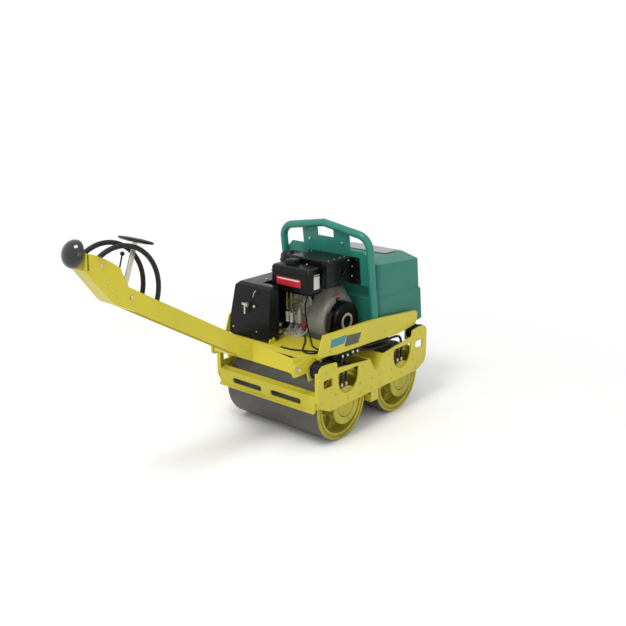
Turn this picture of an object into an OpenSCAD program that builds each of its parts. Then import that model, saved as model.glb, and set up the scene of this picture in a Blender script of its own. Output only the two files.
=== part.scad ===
// Walk behind vibratory roller with two drums, a sprung engine deck and a tilting drawbar.
// +X points forward, away from the operator, +Y to the machine's left and +Z up.
// The origin is on the ground under the middle of the whole machine, drawbar included.

/* [Drums] */
// Diameter of each drum
drum_d = 400; // [380:1:420]
// Width of each drum
drum_w = 650; // [600:1:700]
// Distance between the two drum axles
wheelbase = 507; // [480:1:540]
// Thickness of the rolled drum shell
shell_t = 14; // [10:1:18]
// Depth of the end plate below the drum's rim
web_recess = 72; // [60:1:80]
// Thickness of the dished end plate
web_t = 12; // [8:1:14]
// Ribs on each end plate
rib_count = 8; // [5:1:12]
// Diameter of the inner tube round the exciter shaft
core_tube_d = 172; // [164:1:180]
// Diameter of the hollow stub axle
spindle_d = 70; // [64:1:76]
// Outer diameter of the drum bearing
bearing_d = 120; // [110:1:130]
// Width of the drum bearing
bearing_w = 36; // [30:1:40]
// Diameter of the exciter shaft
exciter_d = 40; // [34:1:46]
// Radius of the eccentric weight
weight_r = 66; // [55:1:70]
// Length of each eccentric weight
weight_len = 140; // [100:1:160]

/* [Lower frame] */
// Gap from a drum's end to the side plate
side_gap = 27; // [22:1:34]
// Thickness of the side plates and cross plates
plate_t = 8; // [6:1:10]
// Reach of the frame's end beyond the drum
end_gap = 38.5; // [32:0.5:50]
// Height of the side plate's lower edge above the axle
frame_rise = 12; // [8:1:20]
// Height of the side plate at its ends
side_h = 258; // [245:1:265]
// Width of the flange folded in at each end of a side plate
flange_w = 24; // [20:1:30]
// Width of a window over a drum axle
window_w = 169; // [150:1:175]
// Width of the small window near each end
end_window_w = 72; // [60:1:76]
// Height of the small window near each end
end_window_h = 45; // [36:1:50]
// Height of the cross plate between the side plates
cross_h = 78; // [70:1:90]
// Length of a slot in the cross plate
slot_len = 211; // [180:1:230]
// Height of a slot in the cross plate
slot_h = 30; // [22:1:34]
// Width of the channel across the middle of the frame
channel_w = 128; // [110:1:136]
// Diameter of a rubber buffer
buffer_d = 95; // [85:1:98]
// Height of the buffers above the drum tops
buffer_rise = 31; // [26:1:34]
// Distance of a buffer from the frame's end
buffer_inset = 62; // [56:1:70]

/* [Upper frame] */
// Height of the engine deck above the drum tops
deck_rise = 100; // [94:1:112]
// Thickness of the deck and the buffer brackets
deck_t = 6; // [5:1:8]
// Width over the rails
rail_w = 660; // [650:1:672]
// Length of the rails
rail_len = 880; // [860:1:890]
// Height of a rail at its rear end
rail_h = 103; // [95:1:110]
// Distance of the guard hoop's foot ahead of the middle of the drums
hoop_x = 65; // [60:1:70]
// Backward lean of the guard hoop
hoop_lean_deg = 7.4; // [6:0.1:9]
// Diameter of the hoop tube
hoop_d = 42; // [38:1:46]
// Width of the hoop between the middles of its posts
hoop_w = 600; // [590:1:600]
// Height of the hoop's peak above the deck, along its lean
hoop_h = 596; // [570:1:620]
// Radius of the hoop's corner bends
hoop_bend_r = 80; // [70:1:90]
// Fall of the hoop's top bars from the peak
gable_deg = 9.5; // [8:0.5:11]

/* [Water tank] */
// Length of the tank at its base
tank_len = 458; // [430:1:470]
// Half width of the lower part of the tank
tank_half = 300; // [290:1:306]
// Height of the tank over its tray at the rear
tank_h = 416; // [400:1:430]
// Wall of the moulded tank
tank_wall = 6; // [4:1:8]
// Diameter of the tank's filler cap
tank_cap_d = 84; // [70:1:90]

/* [Engine] */
// Distance of the crankshaft behind the middle of the drums
crank_back = 58; // [50:1:64]
// Height of the crankshaft above the deck
crank_h = 82; // [80:1:90]
// Radius of the fan housing
fan_r = 145; // [136:1:150]
// Depth of the fan housing
fan_depth = 110; // [100:1:116]
// Radius of the recoil cover
recoil_r = 108; // [100:1:114]
// Length of the crankcase along the crankshaft
case_len = 150; // [140:1:160]
// Cooling fins round the cylinder
fin_count = 7; // [5:1:9]
// Fuel tank length from front to back
fuel_len = 118; // [100:1:120]
// Fuel tank width across the machine
fuel_w = 272; // [250:1:280]
// Fuel tank height
fuel_h = 144; // [130:1:150]
// Length of the silencer box from front to back at its top
silencer_len = 186; // [176:1:190]
// Width of the silencer box across the machine
silencer_w = 285; // [260:1:290]
// Height of the silencer box
silencer_h = 135; // [120:1:140]
// Bore of the exhaust outlet
outlet_bore = 30; // [24:1:34]
// Thickness of the sheet metal of the pump cover
cover_t = 3; // [2:0.5:4]

/* [Drawbar] */
// Distance of the drawbar pivot behind the frame's end
pivot_back = 74; // [68:1:78]
// Depth of the drawbar pivot below the deck
pivot_drop = 33; // [30:1:36]
// Diameter of the drawbar pivot bolt
pivot_d = 16; // [12:1:18]
// Length of the straight arm
arm_len = 876; // [820:1:900]
// Slope of the arm
arm_slope_deg = 30.4; // [28:0.1:32]
// Depth of the arm
arm_depth = 86; // [76:1:92]
// Width of the arm
arm_w = 120; // [112:1:124]
// Sheet thickness of the drawbar
arm_t = 6; // [4:1:8]
// Length of the console at the arm's end
console_len = 207; // [195:1:220]
// Height of the console at the arm's end
console_h = 178; // [170:1:186]
// Radius of the hand rings
ring_r = 200; // [196:1:202]
// Diameter of the hand ring tube
ring_d = 22; // [18:1:25]
// Distance of each hand ring from the middle of the arm
ring_y = 52; // [46:1:54]
// Length of the travel lever
lever_len = 234; // [230:1:245]
// Width of the travel lever's grip
grip_w = 224; // [200:1:240]
// Diameter of the safety button
button_d = 122; // [110:1:128]
// Thickness of the safety button's dome
button_h = 46; // [40:1:50]
// Travel of the safety button
button_travel = 10; // [6:1:12]

/* [Hidden] */

// Running clearance of a shaft in its bore, and the gap left at curved seats
running_gap = 0.05;
seat_gap = 0.3;
// Overrun of every cut past the faces that it cuts
overrun = 2;
// Facets of large, medium and small round parts
$fn = 48;

// Places that follow from the sizes above
axle_x = wheelbase/2;
axle_z = drum_d/2;
half_w = drum_w/2;
frame_half = half_w + side_gap + plate_t;
end_x = axle_x + drum_d/2 + end_gap;
frame_z = axle_z + frame_rise;
side_top = frame_z + side_h;
buffer_x = end_x - buffer_inset;
buffer_z = drum_d + buffer_rise;
deck_z = drum_d + deck_rise;
rail_in = rail_w/2 - plate_t;
pivot_x = -(end_x + pivot_back);
pivot_z = deck_z - pivot_drop;

// Guard hoop: height along the lean and the plane's place at a height above the deck
function hoop_plane(h) = hoop_x - h*tan(hoop_lean_deg);

// Water tank
tank_rear_gap = 6;
tank_rear = hoop_x + hoop_d/2/cos(hoop_lean_deg) + tank_rear_gap;
tank_front = tank_rear + tank_len;
tank_drop = 20;
tank_z = deck_z - tank_drop;
tank_step = 9;
tank_corner_r = 34;
// Parting step and shoulder as shares of the tank's height
tank_step_share = 0.5;
tank_shoulder_share = 0.945;
// Drop of the step and the top towards the front, per length
step_fall_share = 0.04;
top_fall_share = 0.05;

// Drawbar
fold_back = 70;
fold_rise = 110;
arm_fold = [pivot_x - fold_back, pivot_z + fold_rise];
arm_dir = [-cos(arm_slope_deg), sin(arm_slope_deg)];
arm_down = [-sin(arm_slope_deg), -cos(arm_slope_deg)];
arm_end = arm_fold + arm_len*arm_dir;
// Console outline behind the end of the straight arm, as shares of its length and height
console_share = [[0.044, 0.13], [0.116, 0.326], [0.17, 0.51], [0.49, 0.765], [0.676, 0.888], [0.937, 1],
    [1, 0.6], [0.41, -0.278], [0.335, -0.37]];
console_top = arm_end + [-console_len*console_share[5][0], console_h*console_share[5][1]];
console_low = arm_end + [-console_len*console_share[6][0], console_h*console_share[6][1]];

// Safety button: its seat lies off the middle of the console's end face
button_tilt_deg = 21;
button_dir = [-cos(button_tilt_deg), sin(button_tilt_deg)];
button_stem_d = 24;
button_stand = 22;
button_root_share = 0.2;
button_root = console_top + button_root_share*(console_low - console_top);
button_base = button_root + button_stand*button_dir;
button_reach = norm([button_h*button_dir[0], button_d/2*button_dir[1]]);

// Shift that puts the origin under the middle of the whole machine
machine_shift = -(tank_front + button_base[0] - button_reach)/2;

module at_base() {
  translate([machine_shift, 0, 0]) children();
}

// Outline helpers. Outlines are lists of points in the plane that a part is cut in.
function scaled(share, w, h) = [for (q = share) [q[0]*w, q[1]*h]];
function moved(p, x, y) = [for (q = p) [q[0] + x, q[1] + y]];
function arc(cx, cy, r, a0, a1, steps) =
    [for (i = [0:steps]) let (a = a0 + (a1 - a0)*i/steps) [cx + r*cos(a), cy + r*sin(a)]];
function both_sides(p) = concat(p, [for (i = [len(p) - 1:-1:0]) if (p[i][0] != 0) [-p[i][0], p[i][1]]]);
function round_rect(w, h, r) = concat(arc(w/2 - r, h/2 - r, r, 0, 90, 5),
    arc(r - w/2, h/2 - r, r, 90, 180, 5), arc(r - w/2, r - h/2, r, 180, 270, 5),
    arc(w/2 - r, r - h/2, r, 270, 360, 5));

// A folded sheet: the path of one face, closed by a mitred copy one thickness to its left
function left_of(a, b) = let (d = b - a) [-d[1], d[0]]/norm(d);
function mitre(p, i, t) =
    i == 0 ? p[0] + t*left_of(p[0], p[1]) :
    i == len(p) - 1 ? p[i] + t*left_of(p[i - 1], p[i]) :
    let (n0 = left_of(p[i - 1], p[i]), n1 = left_of(p[i], p[i + 1])) p[i] + t*(n0 + n1)/(1 + n0*n1);
function folded(p, t) = concat(p, [for (i = [len(p) - 1:-1:0]) mitre(p, i, t)]);

// An outline in X and Z, extruded from y0 to y1
module xz_part(points, y0, y1) {
  translate([0, y1, 0]) rotate([90, 0, 0]) linear_extrude(height = y1 - y0) polygon(points);
}

// An outline in Y and Z, extruded from x0 to x1
module yz_part(points, x0, x1) {
  translate([x0, 0, 0]) rotate([90, 0, 90]) linear_extrude(height = x1 - x0) polygon(points);
}

// An outline in X and Y, extruded from z0 to z1
module xy_part(points, z0, z1) {
  translate([0, 0, z0]) linear_extrude(height = z1 - z0) polygon(points);
}

module box(low, high) {
  translate(low) cube(high - low);
}

// A rod along Y between two places
module rod_y(d, y0, y1) {
  translate([0, y0, 0]) rotate([-90, 0, 0]) cylinder(d = d, h = y1 - y0);
}

// A rod along X between two places
module rod_x(d, x0, x1) {
  translate([x0, 0, 0]) rotate([0, 90, 0]) cylinder(d = d, h = x1 - x0);
}

// A profile of radius and Y, turned about the Y axis
module turned_y(profile) {
  rotate([-90, 0, 0]) rotate_extrude() polygon(profile);
}

module both_y() {
  children();
  mirror([0, 1, 0]) children();
}

module both_x() {
  children();
  mirror([1, 0, 0]) children();
}

module on_side(side) {
  mirror([0, side < 0 ? 1 : 0, 0]) children();
}

// A skin over a stack of rings with equal numbers of points, each ring anticlockwise from above
module loft(rings) {
  n = len(rings[0]);
  last = (len(rings) - 1)*n;
  walls = [for (k = [0:len(rings) - 2]) for (i = [0:n - 1])
      let (a = k*n + i, b = k*n + (i + 1)%n) each [[a, a + n, b + n], [a, b + n, b]]];
  polyhedron([for (r = rings) for (p = r) p],
      concat([[for (i = [0:n - 1]) i]], walls, [[for (i = [n - 1:-1:0]) last + i]]));
}

// One ring of a moulded box: a rounded rectangle whose height may fall along X
function box_ring(x0, x1, y0, y1, r, z, fall) =
    [for (c = [0:3]) for (i = [0:corner_steps])
      let (a = 90*c + 90*i/corner_steps,
          x = (c == 0 || c == 3 ? x1 - r : x0 + r) + r*cos(a),
          y = (c < 2 ? y1 - r : y0 + r) + r*sin(a))
      [x, y, z - fall*(x - x0)]];
corner_steps = 4;

// A moulded box with rounded top and bottom edges, its front wall leaning by a slope
function moulded_rings(x0, x1, y0, y1, z0, z1, r, edge, lean) =
    [for (s = [[0, edge], [edge*edge_share, edge*edge_share], [edge, 0]])
      box_ring(x0 + s[1], x1 + lean*(z1 - z0 - s[0]) - s[1], y0 + s[1], y1 - s[1], r, z0 + s[0], 0),
     for (s = [[edge, 0], [edge*edge_share, edge*edge_share], [0, edge]])
      box_ring(x0 + s[1], x1 + lean*s[0] - s[1], y0 + s[1], y1 - s[1], r, z1 - s[0], 0)];
edge_share = 0.3;

// A hose along a smooth route through hand placed points
function unit(v) = v/norm(v);
function curve_point(p, i, t) =
    let (a = p[max(i - 1, 0)], b = p[i], c = p[i + 1], d = p[min(i + 2, len(p) - 1)])
    b + t*(c - a)/2 + t*t*(2*a - 5*b + 4*c - d)/2 + t*t*t*(3*b - a - 3*c + d)/2;
function curve(p, steps) = concat([for (i = [0:len(p) - 2]) for (k = [0:steps - 1])
    curve_point(p, i, k/steps)], [p[len(p) - 1]]);
module hose(route, d, steps) {
  p = curve(route, steps);
  loft([for (i = [0:len(p) - 1])
      let (t = unit(p[min(i + 1, len(p) - 1)] - p[max(i - 1, 0)]),
          s = unit(cross(hose_side, t)), u = cross(t, s))
      [for (k = [0:hose_sides - 1]) let (a = 360*k/hose_sides)
          p[i] + d/2*(cos(a)*s + sin(a)*u)]]);
}
hose_side = [0.1, 0.2, 0.97];
hose_sides = 8;

// Hexagon headed bolt standing on a face at z = 0
module bolt_head(d) {
  cylinder(d = d*washer_share, h = d*washer_t_share);
  translate([0, 0, d*washer_t_share]) cylinder(d = d*head_share, h = d*head_t_share, $fn = 6);
}
washer_share = 2.1;
washer_t_share = 0.18;
head_share = 1.85;
head_t_share = 0.6;
bolt_d = 6;

// Lower frame

// Half outline of a side plate as shares of the half length and height, from the middle outward
side_share = [[0, 0], [0.815, 0], [0.965, 0.128], [1, 0.248], [1, 0.868], [0.967, 0.965],
    [0.925, 1], [0.841, 1], [0.7, 0.97], [0.69, 0.845], [0.16, 0.735], [0, 0.735]];
side_outline = both_sides(moved(scaled(side_share, end_x, side_h), 0, frame_z));
window_top_share = 0.715;
window_floor_share = 0.228;
window_z = frame_z + side_h*window_floor_share + window_w/2;
window_inset = 8;
window_x = axle_x - window_inset;
end_window_share = 0.602;
end_window_z = frame_z + side_h*end_window_share;
low_flange_w = 20;
corner_r = 6;
channel_top = frame_z + side_h*side_share[10][1];
channel_depth = 83;
channel_r = 34;
channel_t = 6;
channel_path = concat([[channel_w/2, channel_top]],
    [for (q = arc(0, channel_top - channel_depth + channel_t + channel_r, channel_r, -12, -168, 10)) q],
    [[-channel_w/2, channel_top]]);
function channel_cut(gap) = concat([for (i = [len(channel_path) - 1:-1:0]) mitre(channel_path, i, gap)],
    [[channel_w/2 + gap, channel_top + channel_depth], [-channel_w/2 - gap, channel_top + channel_depth]]);

module side_plate(side) {
  on_side(side) {
    difference() {
      xz_part(side_outline, frame_half - plate_t, frame_half);
      both_x() {
        translate([window_x, 0, 0]) xz_part(concat(arc(0, window_z, window_w/2, 180, 360, 16),
            [[window_w/2, frame_z + side_h*window_top_share],
             [-window_w/2, frame_z + side_h*window_top_share]]),
            frame_half - plate_t - overrun, frame_half + overrun);
        translate([end_x - end_window_w*1.083, 0, end_window_z])
            xz_part(round_rect(end_window_w, end_window_h, corner_r),
            frame_half - plate_t - overrun, frame_half + overrun);
      }
      xz_part(channel_cut(seat_gap), frame_half - plate_t - overrun, frame_half + overrun);
    }
    both_x() {
      // flange folded in at the end, where the cross plate is bolted
      box([end_x - plate_t, frame_half - flange_w, frame_z + side_h*side_share[3][1]],
          [end_x, frame_half - plate_t, frame_z + side_h*side_share[4][1]]);
      // stiffening flange along the lower edge, between the beam and the carriers
      box([beam_w/2 + corner_r, frame_half - low_flange_w, frame_z],
          [axle_x - pad_r - corner_r, frame_half - plate_t, frame_z + plate_t]);
    }
  }
}

module right_side_plate() { color("#c9bf45") at_base() side_plate(-1); }
module left_side_plate() { color("#c9bf45") at_base() side_plate(1); }

// Cross plate: lip, web and turned in top edge folded from one sheet, with two slots and end tabs
cross_lift = 22;
cross_z = frame_z + cross_lift;
cross_lip = 13;
cross_turn = 34;
cross_turn_rise = 10;
cross_half = frame_half - flange_w - seat_gap;
slot_gap = 64;
cross_tab_w = 52;
module cross_plate() {
  path = [[end_x + cross_lip, cross_z - cross_lip/2], [end_x, cross_z], [end_x, cross_z + cross_h],
      [end_x - cross_turn, cross_z + cross_h + cross_turn_rise]];
  difference() {
    xz_part(folded(path, plate_t), -cross_half, cross_half);
    both_y() yz_part(moved(round_rect(slot_len, slot_h, slot_h/2*slot_round_share),
        slot_gap/2 + slot_len/2, cross_z + cross_h*slot_place_share), end_x - plate_t - overrun, end_x + overrun);
  }
  both_y() box([end_x - 2*plate_t, cross_half - cross_tab_w/2, cross_z + plate_t],
      [end_x - plate_t, frame_half - plate_t - seat_gap, cross_z + cross_h - 2*plate_t]);
}
slot_round_share = 0.96;
slot_place_share = 0.37;
module rear_cross_plate() { color("#c9bf45") at_base() mirror([1, 0, 0]) cross_plate(); }
module front_cross_plate() { color("#c9bf45") at_base() cross_plate(); }

// Channel between the drums, welded into the dips of both side plates
module centre_channel() {
  color("#c9bf45") at_base() xz_part(folded(channel_path, -channel_t), -frame_half, frame_half);
}

// Beam between the drums that carries the inner scrapers, hung from both side plates
beam_w = 64;
beam_drop = 54;
beam_z = axle_z - beam_drop;
beam_h = 40;
beam_tab_rise = 36;
module scraper_beam() {
  color("#c9bf45") at_base() {
    path = [[-beam_w/2, beam_z], [-beam_w/2, beam_z + beam_h], [beam_w/2, beam_z + beam_h], [beam_w/2, beam_z]];
    xz_part(folded(path, -plate_t), plate_t - half_w - side_gap, half_w + side_gap - plate_t);
    both_y() box([-beam_w/2, half_w + side_gap - plate_t, beam_z],
        [beam_w/2, half_w + side_gap - seat_gap, frame_z + beam_tab_rise]);
  }
}

// Rubber scraper blades: two under the cross plates' turned edges, two on the beam's sides
blade_t = 6;
blade_gap = 1.5;
blade_w = drum_w - 2*plate_t;
function drum_edge(z) = sqrt(pow(drum_d/2, 2) - pow(z - axle_z, 2));
module scraper_blades() {
  color("#262626") at_base() {
    blade_z = cross_z + cross_h - plate_t*1.8;
    both_x() {
      box([axle_x + drum_edge(blade_z) + blade_gap, -blade_w/2, blade_z],
          [end_x - plate_t, blade_w/2, blade_z + blade_t]);
      box([beam_w/2 + plate_t, -blade_w/2, beam_z + beam_h*blade_place_share],
          [axle_x - drum_edge(beam_z + beam_h*blade_place_share) - blade_gap, blade_w/2,
           beam_z + beam_h*blade_place_share + blade_t]);
    }
  }
}
blade_place_share = 0.5;

// Axle carrier: bolted pad, ribbed bearing cup and hollow stub axle, one at each end of each drum
cup_r = 74;
cup_nose_r = 60;
cup_wall = 8;
pad_r = 104;
hub_rise = 6;
hub_gap = 4;
bearing_shoulder = 4;
carrier_turn_deg = 45;
carrier_rib_count = 8;
web_y = half_w - web_recess;
hub_out = web_y + hub_rise;
spindle_in = web_y - bearing_w - 2*bearing_shoulder;
cup_in = hub_out + hub_gap;
pad_out = frame_half - plate_t;
module axle_carrier() {
  bore = exciter_d + 2*running_gap;
  turned_y([[bore/2, spindle_in], [spindle_d/2, spindle_in], [spindle_d/2, cup_in],
      [cup_nose_r, cup_in], [cup_r, cup_in + cup_nose_r*0.3], [cup_r, pad_out - plate_t],
      [pad_r, pad_out - plate_t], [pad_r, pad_out], [cup_r - cup_wall, pad_out],
      [cup_r - cup_wall, cup_in + cup_nose_r*0.4], [spindle_d/2, cup_in + cup_wall],
      [bore/2, cup_in + cup_wall]]);
  for (i = [0:carrier_rib_count - 1]) rotate([0, 360*i/carrier_rib_count + carrier_turn_deg, 0])
      xz_rib(cup_r - cup_wall/2, pad_r - cup_wall, pad_out - plate_t*4, pad_out - plate_t/2, cup_wall);
}
// A triangular rib between a cup and its pad
module xz_rib(r0, r1, y0, y1, t) {
  translate([0, 0, -t/2]) linear_extrude(height = t) polygon([[r0, y0], [r1, y1], [r0, y1]]);
}
module axle_carriers() {
  color("#b9ae3e") at_base() both_x() both_y() translate([axle_x, 0, axle_z]) axle_carrier();
}

bearing_in = spindle_in + bearing_shoulder;
module drum_bearings() {
  color("#b8babd") at_base() both_x() both_y() translate([axle_x, 0, axle_z])
      turned_y([[spindle_d/2 + running_gap, bearing_in], [bearing_d/2, bearing_in],
          [bearing_d/2, bearing_in + bearing_w], [spindle_d/2 + running_gap, bearing_in + bearing_w]]);
}

// Orbital hydraulic motor in a carrier's cup, with its end flange and two ports
motor_d = 96;
motor_port_d = 18;
motor_port_x = 18;
hose_line_y = (half_w + pad_out - plate_t)/2;
motor_port_h = 22;
motor_flange_share = 1.3;
port_top = cup_r + seat_gap + motor_port_h;
module motor() {
  motor_in = cup_in + cup_wall + cup_nose_r*0.4;
  rod_y(motor_d, motor_in, pad_out - plate_t);
  rod_y(motor_d*motor_flange_share, pad_out - plate_t, pad_out - seat_gap);
  for (k = [-1:2:1]) translate([k*motor_port_x, hose_line_y, cup_r + seat_gap]) {
    cylinder(d = motor_port_d, h = motor_port_h);
    cylinder(d = motor_port_d*1.1, h = motor_port_d*0.5, $fn = 6);
  }
}
module travel_motors() {
  color("#b9ae3e") at_base() both_x() translate([axle_x, 0, axle_z]) motor();
}
module vibration_motors() {
  color("#b9ae3e") at_base() both_x() mirror([0, 1, 0]) translate([axle_x, 0, axle_z]) motor();
}

// Rubber buffers between the upper frame's brackets and the side plates, waisted, with end plates
bracket_offset = 32;
bracket_out = rail_in - bracket_offset;
buffer_plate_t = 4;
buffer_waist_share = 0.9;
buffer_neck_share = 0.93;
module rubber_buffers() {
  color("#1f1f1f") at_base() both_x() both_y() translate([buffer_x, 0, buffer_z]) {
    y0 = bracket_out;
    y1 = frame_half - plate_t;
    mid = (y0 + y1)/2;
    r = buffer_d/2;
    turned_y([[0, y0], [r, y0], [r, y0 + buffer_plate_t], [r*buffer_neck_share, y0 + buffer_plate_t],
        [r*buffer_waist_share, mid], [r*buffer_neck_share, y1 - buffer_plate_t], [r, y1 - buffer_plate_t],
        [r, y1], [0, y1]]);
  }
}

// Bolts of the side plates, in shares of the half length and the plate's height
side_bolt_share = [[0.08, 0.09], [0.29, 0.09], [0.5, 0.11], [0.79, 0.07], [0.945, 0.24], [0.71, 0.3],
    [0.075, 0.3], [0.25, 0.66], [0.735, 0.88], [0.29, 0.3], [0.875, 0.848]];
module frame_bolts() {
  color("#b9b48a") at_base() both_x() both_y() {
    for (q = side_bolt_share) translate([end_x*q[0], frame_half, frame_z + side_h*q[1]])
        rotate([-90, 0, 0]) bolt_head(bolt_d);
  }
}

// Upper frame

// Deck: a folded tray with a turned down rear edge, upturned sides and a hole for hoses
deck_rear = rail_len/2;
deck_edge = 2;
deck_front = hoop_x + hoop_d/2 + deck_edge;
deck_lip = 28;
deck_side_h = 40;
hole_w = 110;
notch_rear = 210;
notch_out = 208;
module engine_deck() {
  color("#c9bf45") at_base() difference() {
    union() {
      box([-deck_rear, -rail_in, deck_z - deck_t], [deck_front, rail_in, deck_z]);
      box([-deck_rear, -bracket_in, deck_z - deck_lip], [deck_t - deck_rear, bracket_in, deck_z]);
      both_y() box([-deck_rear*0.7, rail_in - deck_t, deck_z - deck_t],
          [hoop_x - hoop_d, rail_in, deck_z + deck_side_h]);
    }
    both_y() xy_part(moved(round_rect(hole_w, hole_w/2, hole_w/6), -deck_rear*0.42, rail_in - hole_w/2),
        deck_z - deck_lip, deck_z + overrun);
    // notch that the fan housing and the recoil cover dip into
    box([-notch_rear, -notch_out, deck_z - deck_lip], [deck_front + overrun, case_y0 + overrun, deck_z + overrun]);
  }
}

// Cradle under the water tank, with upturned sides bolted to the rails and round lightening holes
cradle_z = tank_z - seat_gap;
buffer_clear = 4;
cradle_back = 14;
cradle_wide = buffer_x - buffer_d/2 - buffer_clear;
cradle_end = end_x - cradle_back;
cradle_hole_d = 90;
module tank_cradle() {
  color("#c9bf45") at_base() difference() {
    union() {
      box([deck_front, -rail_in, cradle_z - plate_t], [cradle_wide, rail_in, cradle_z]);
      box([cradle_wide, -bracket_out, cradle_z - plate_t], [cradle_end, bracket_out, cradle_z]);
      both_y() box([deck_front, rail_in - plate_t, cradle_z - plate_t], [cradle_wide, rail_in, deck_z + deck_side_h]);
      box([deck_front, -rail_in, cradle_z - plate_t], [deck_front + deck_edge, rail_in, deck_z]);
    }
    for (i = [0:2]) for (k = [-1:1]) translate([deck_front + cradle_hole_d*(0.9 + 1.3*i), k*cradle_hole_d*1.8,
        cradle_z - plate_t - overrun]) cylinder(d = cradle_hole_d, h = plate_t + 2*overrun);
  }
}

// Rail outline as shares of its half length and of its height at the rear, from the rear top
rail_share = [[-0.93, 1.09], [-0.06, 0.98], [0.157, 0.932], [0.941, 0.583], [0.97, 0.52], [0.985, 0.4],
    [0.982, 0.12], [0.965, 0.0], [0.93, -0.21], [0.541, -0.35], [0.034, -0.223], [-0.177, -0.184],
    [-0.698, -0.107], [-1.02, 0.09], [-1.035, 0.15], [-0.965, 1.0]];
rail_outline = moved(scaled(rail_share, rail_len/2, rail_h), 0, deck_z);
rail_flange_w = 16;
module rail(side) {
  on_side(side) difference() {
    union() {
      xz_part(rail_outline, rail_in, rail_in + plate_t);
      for (k = [0:2]) {
        a = rail_outline[k];
        b = rail_outline[k + 1];
        inner = left_of(a, b)*-plate_t;
        xz_part([a, b, b + inner, a + inner], rail_in - rail_flange_w + plate_t, rail_in + plate_t/2);
      }
    }
    // notch in the flange for the post of the hoop
    in_hoop_plane() translate([0, hoop_w/2, 0]) cylinder(d = hoop_d + 2*overrun, h = 2*rail_h);
  }
}
module right_rail() { color("#c9bf45") at_base() rail(-1); }
module left_rail() { color("#c9bf45") at_base() rail(1); }

// Plates that hold the buffers. The rear pair reaches back and also holds the drawbar.
bracket_t = 10;
bracket_in = bracket_out - bracket_t;
bracket_drop = 50;
ear_drop = 35;
stop_ahead = 84;
stop_drop = 7;
ear_low = pivot_z - ear_drop;
bracket_low = buffer_z - bracket_drop;
bracket_r = 16;
ear_back = 35;
stop_x = pivot_x + stop_ahead;
stop_z = pivot_z - stop_drop;
stop_d = 12;
module buffer_brackets() {
  color("#c9bf45") at_base() both_y() {
    difference() {
      xz_part(concat(arc(pivot_x - ear_back + bracket_r, ear_low + bracket_r, bracket_r, 270, 180, 5),
          [[pivot_x - ear_back, deck_z - bracket_r], [pivot_x - ear_back/2, deck_z + deck_t],
           [-deck_rear - seat_gap, deck_z + deck_t], [-deck_rear - seat_gap, deck_z - deck_t],
           [-buffer_x + buffer_d/2, deck_z - deck_t]],
          arc(-buffer_x + buffer_d/2 - bracket_r, bracket_low + bracket_r, bracket_r, 0, -90, 5),
          [[-buffer_x - buffer_d/2, bracket_low], [-end_x, ear_low]]),
          bracket_in, bracket_out);
      translate([pivot_x, 0, pivot_z]) rod_y(pivot_d + 2*running_gap, bracket_in - overrun, bracket_out + overrun);
      translate([stop_x, 0, stop_z]) rod_y(stop_d + 2*running_gap, bracket_in - overrun, bracket_out + overrun);
    }
    xz_part(concat(arc(buffer_x - buffer_d/2 + bracket_r, bracket_low + bracket_r, bracket_r, 270, 180, 5),
        [[buffer_x - buffer_d/2, cradle_z - plate_t], [cradle_end, cradle_z - plate_t]],
        arc(cradle_end - bracket_r, bracket_low + bracket_r, bracket_r, 0, -90, 5)), bracket_in, bracket_out);
  }
}

// Pivot and stop bolts of the drawbar, with hexagon heads outside and nuts inside
tab_out = bracket_in - seat_gap;
tab_in = tab_out - bracket_t;
slim_share = 0.85;
module pivot_bolts() {
  color("#c4c2b4") at_base() both_y() {
    for (b = [[pivot_x, pivot_z, pivot_d], [stop_x, stop_z, stop_d]]) translate([b[0], 0, b[1]]) {
      rod_y(b[2], tab_in - seat_gap, bracket_out + seat_gap);
      translate([0, bracket_out + seat_gap, 0]) rotate([-90, 0, 0]) bolt_head(b[2]*slim_share);
      translate([0, tab_in - seat_gap, 0]) rotate([90, 0, 0]) bolt_head(b[2]*slim_share);
    }
  }
}

// Guard hoop, drawn upright in its own plane and then leaned back about its foot
module in_hoop_plane() {
  translate([hoop_x, 0, deck_z]) rotate([0, -hoop_lean_deg, 0]) children();
}
bend_deg = 90 - gable_deg;
bar_y = hoop_w/2 - hoop_bend_r + hoop_bend_r*cos(bend_deg);
eave = hoop_h - bar_y*tan(gable_deg) - hoop_bend_r*sin(bend_deg);
bar_start = eave + hoop_bend_r*sin(bend_deg);
// The straight bar is a hair thicker than the bend, so that the two meet at an edge
bar_extra = 0.1;
module hoop_tube() {
  color("#3c9c83") at_base() in_hoop_plane() both_y() {
    difference() {
      translate([0, hoop_w/2, -hoop_d]) cylinder(d = hoop_d, h = eave + hoop_d);
      rotate([0, hoop_lean_deg, 0]) box([-hoop_d*2, 0, -hoop_d*3], [hoop_d*2, hoop_w, 0]);
    }
    translate([0, hoop_w/2 - hoop_bend_r, eave]) rotate([90, 0, 90])
        rotate_extrude(angle = bend_deg) translate([hoop_bend_r, 0]) circle(d = hoop_d);
    // top bar, mitred against its twin at the peak
    intersection() {
      translate([0, bar_y, bar_start]) rotate([bend_deg, 0, 0])
          cylinder(d = hoop_d + bar_extra, h = bar_y/cos(gable_deg) + hoop_d);
      box([-hoop_d, 0, 0], [hoop_d, hoop_w, hoop_h + hoop_d]);
    }
  }
}

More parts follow.
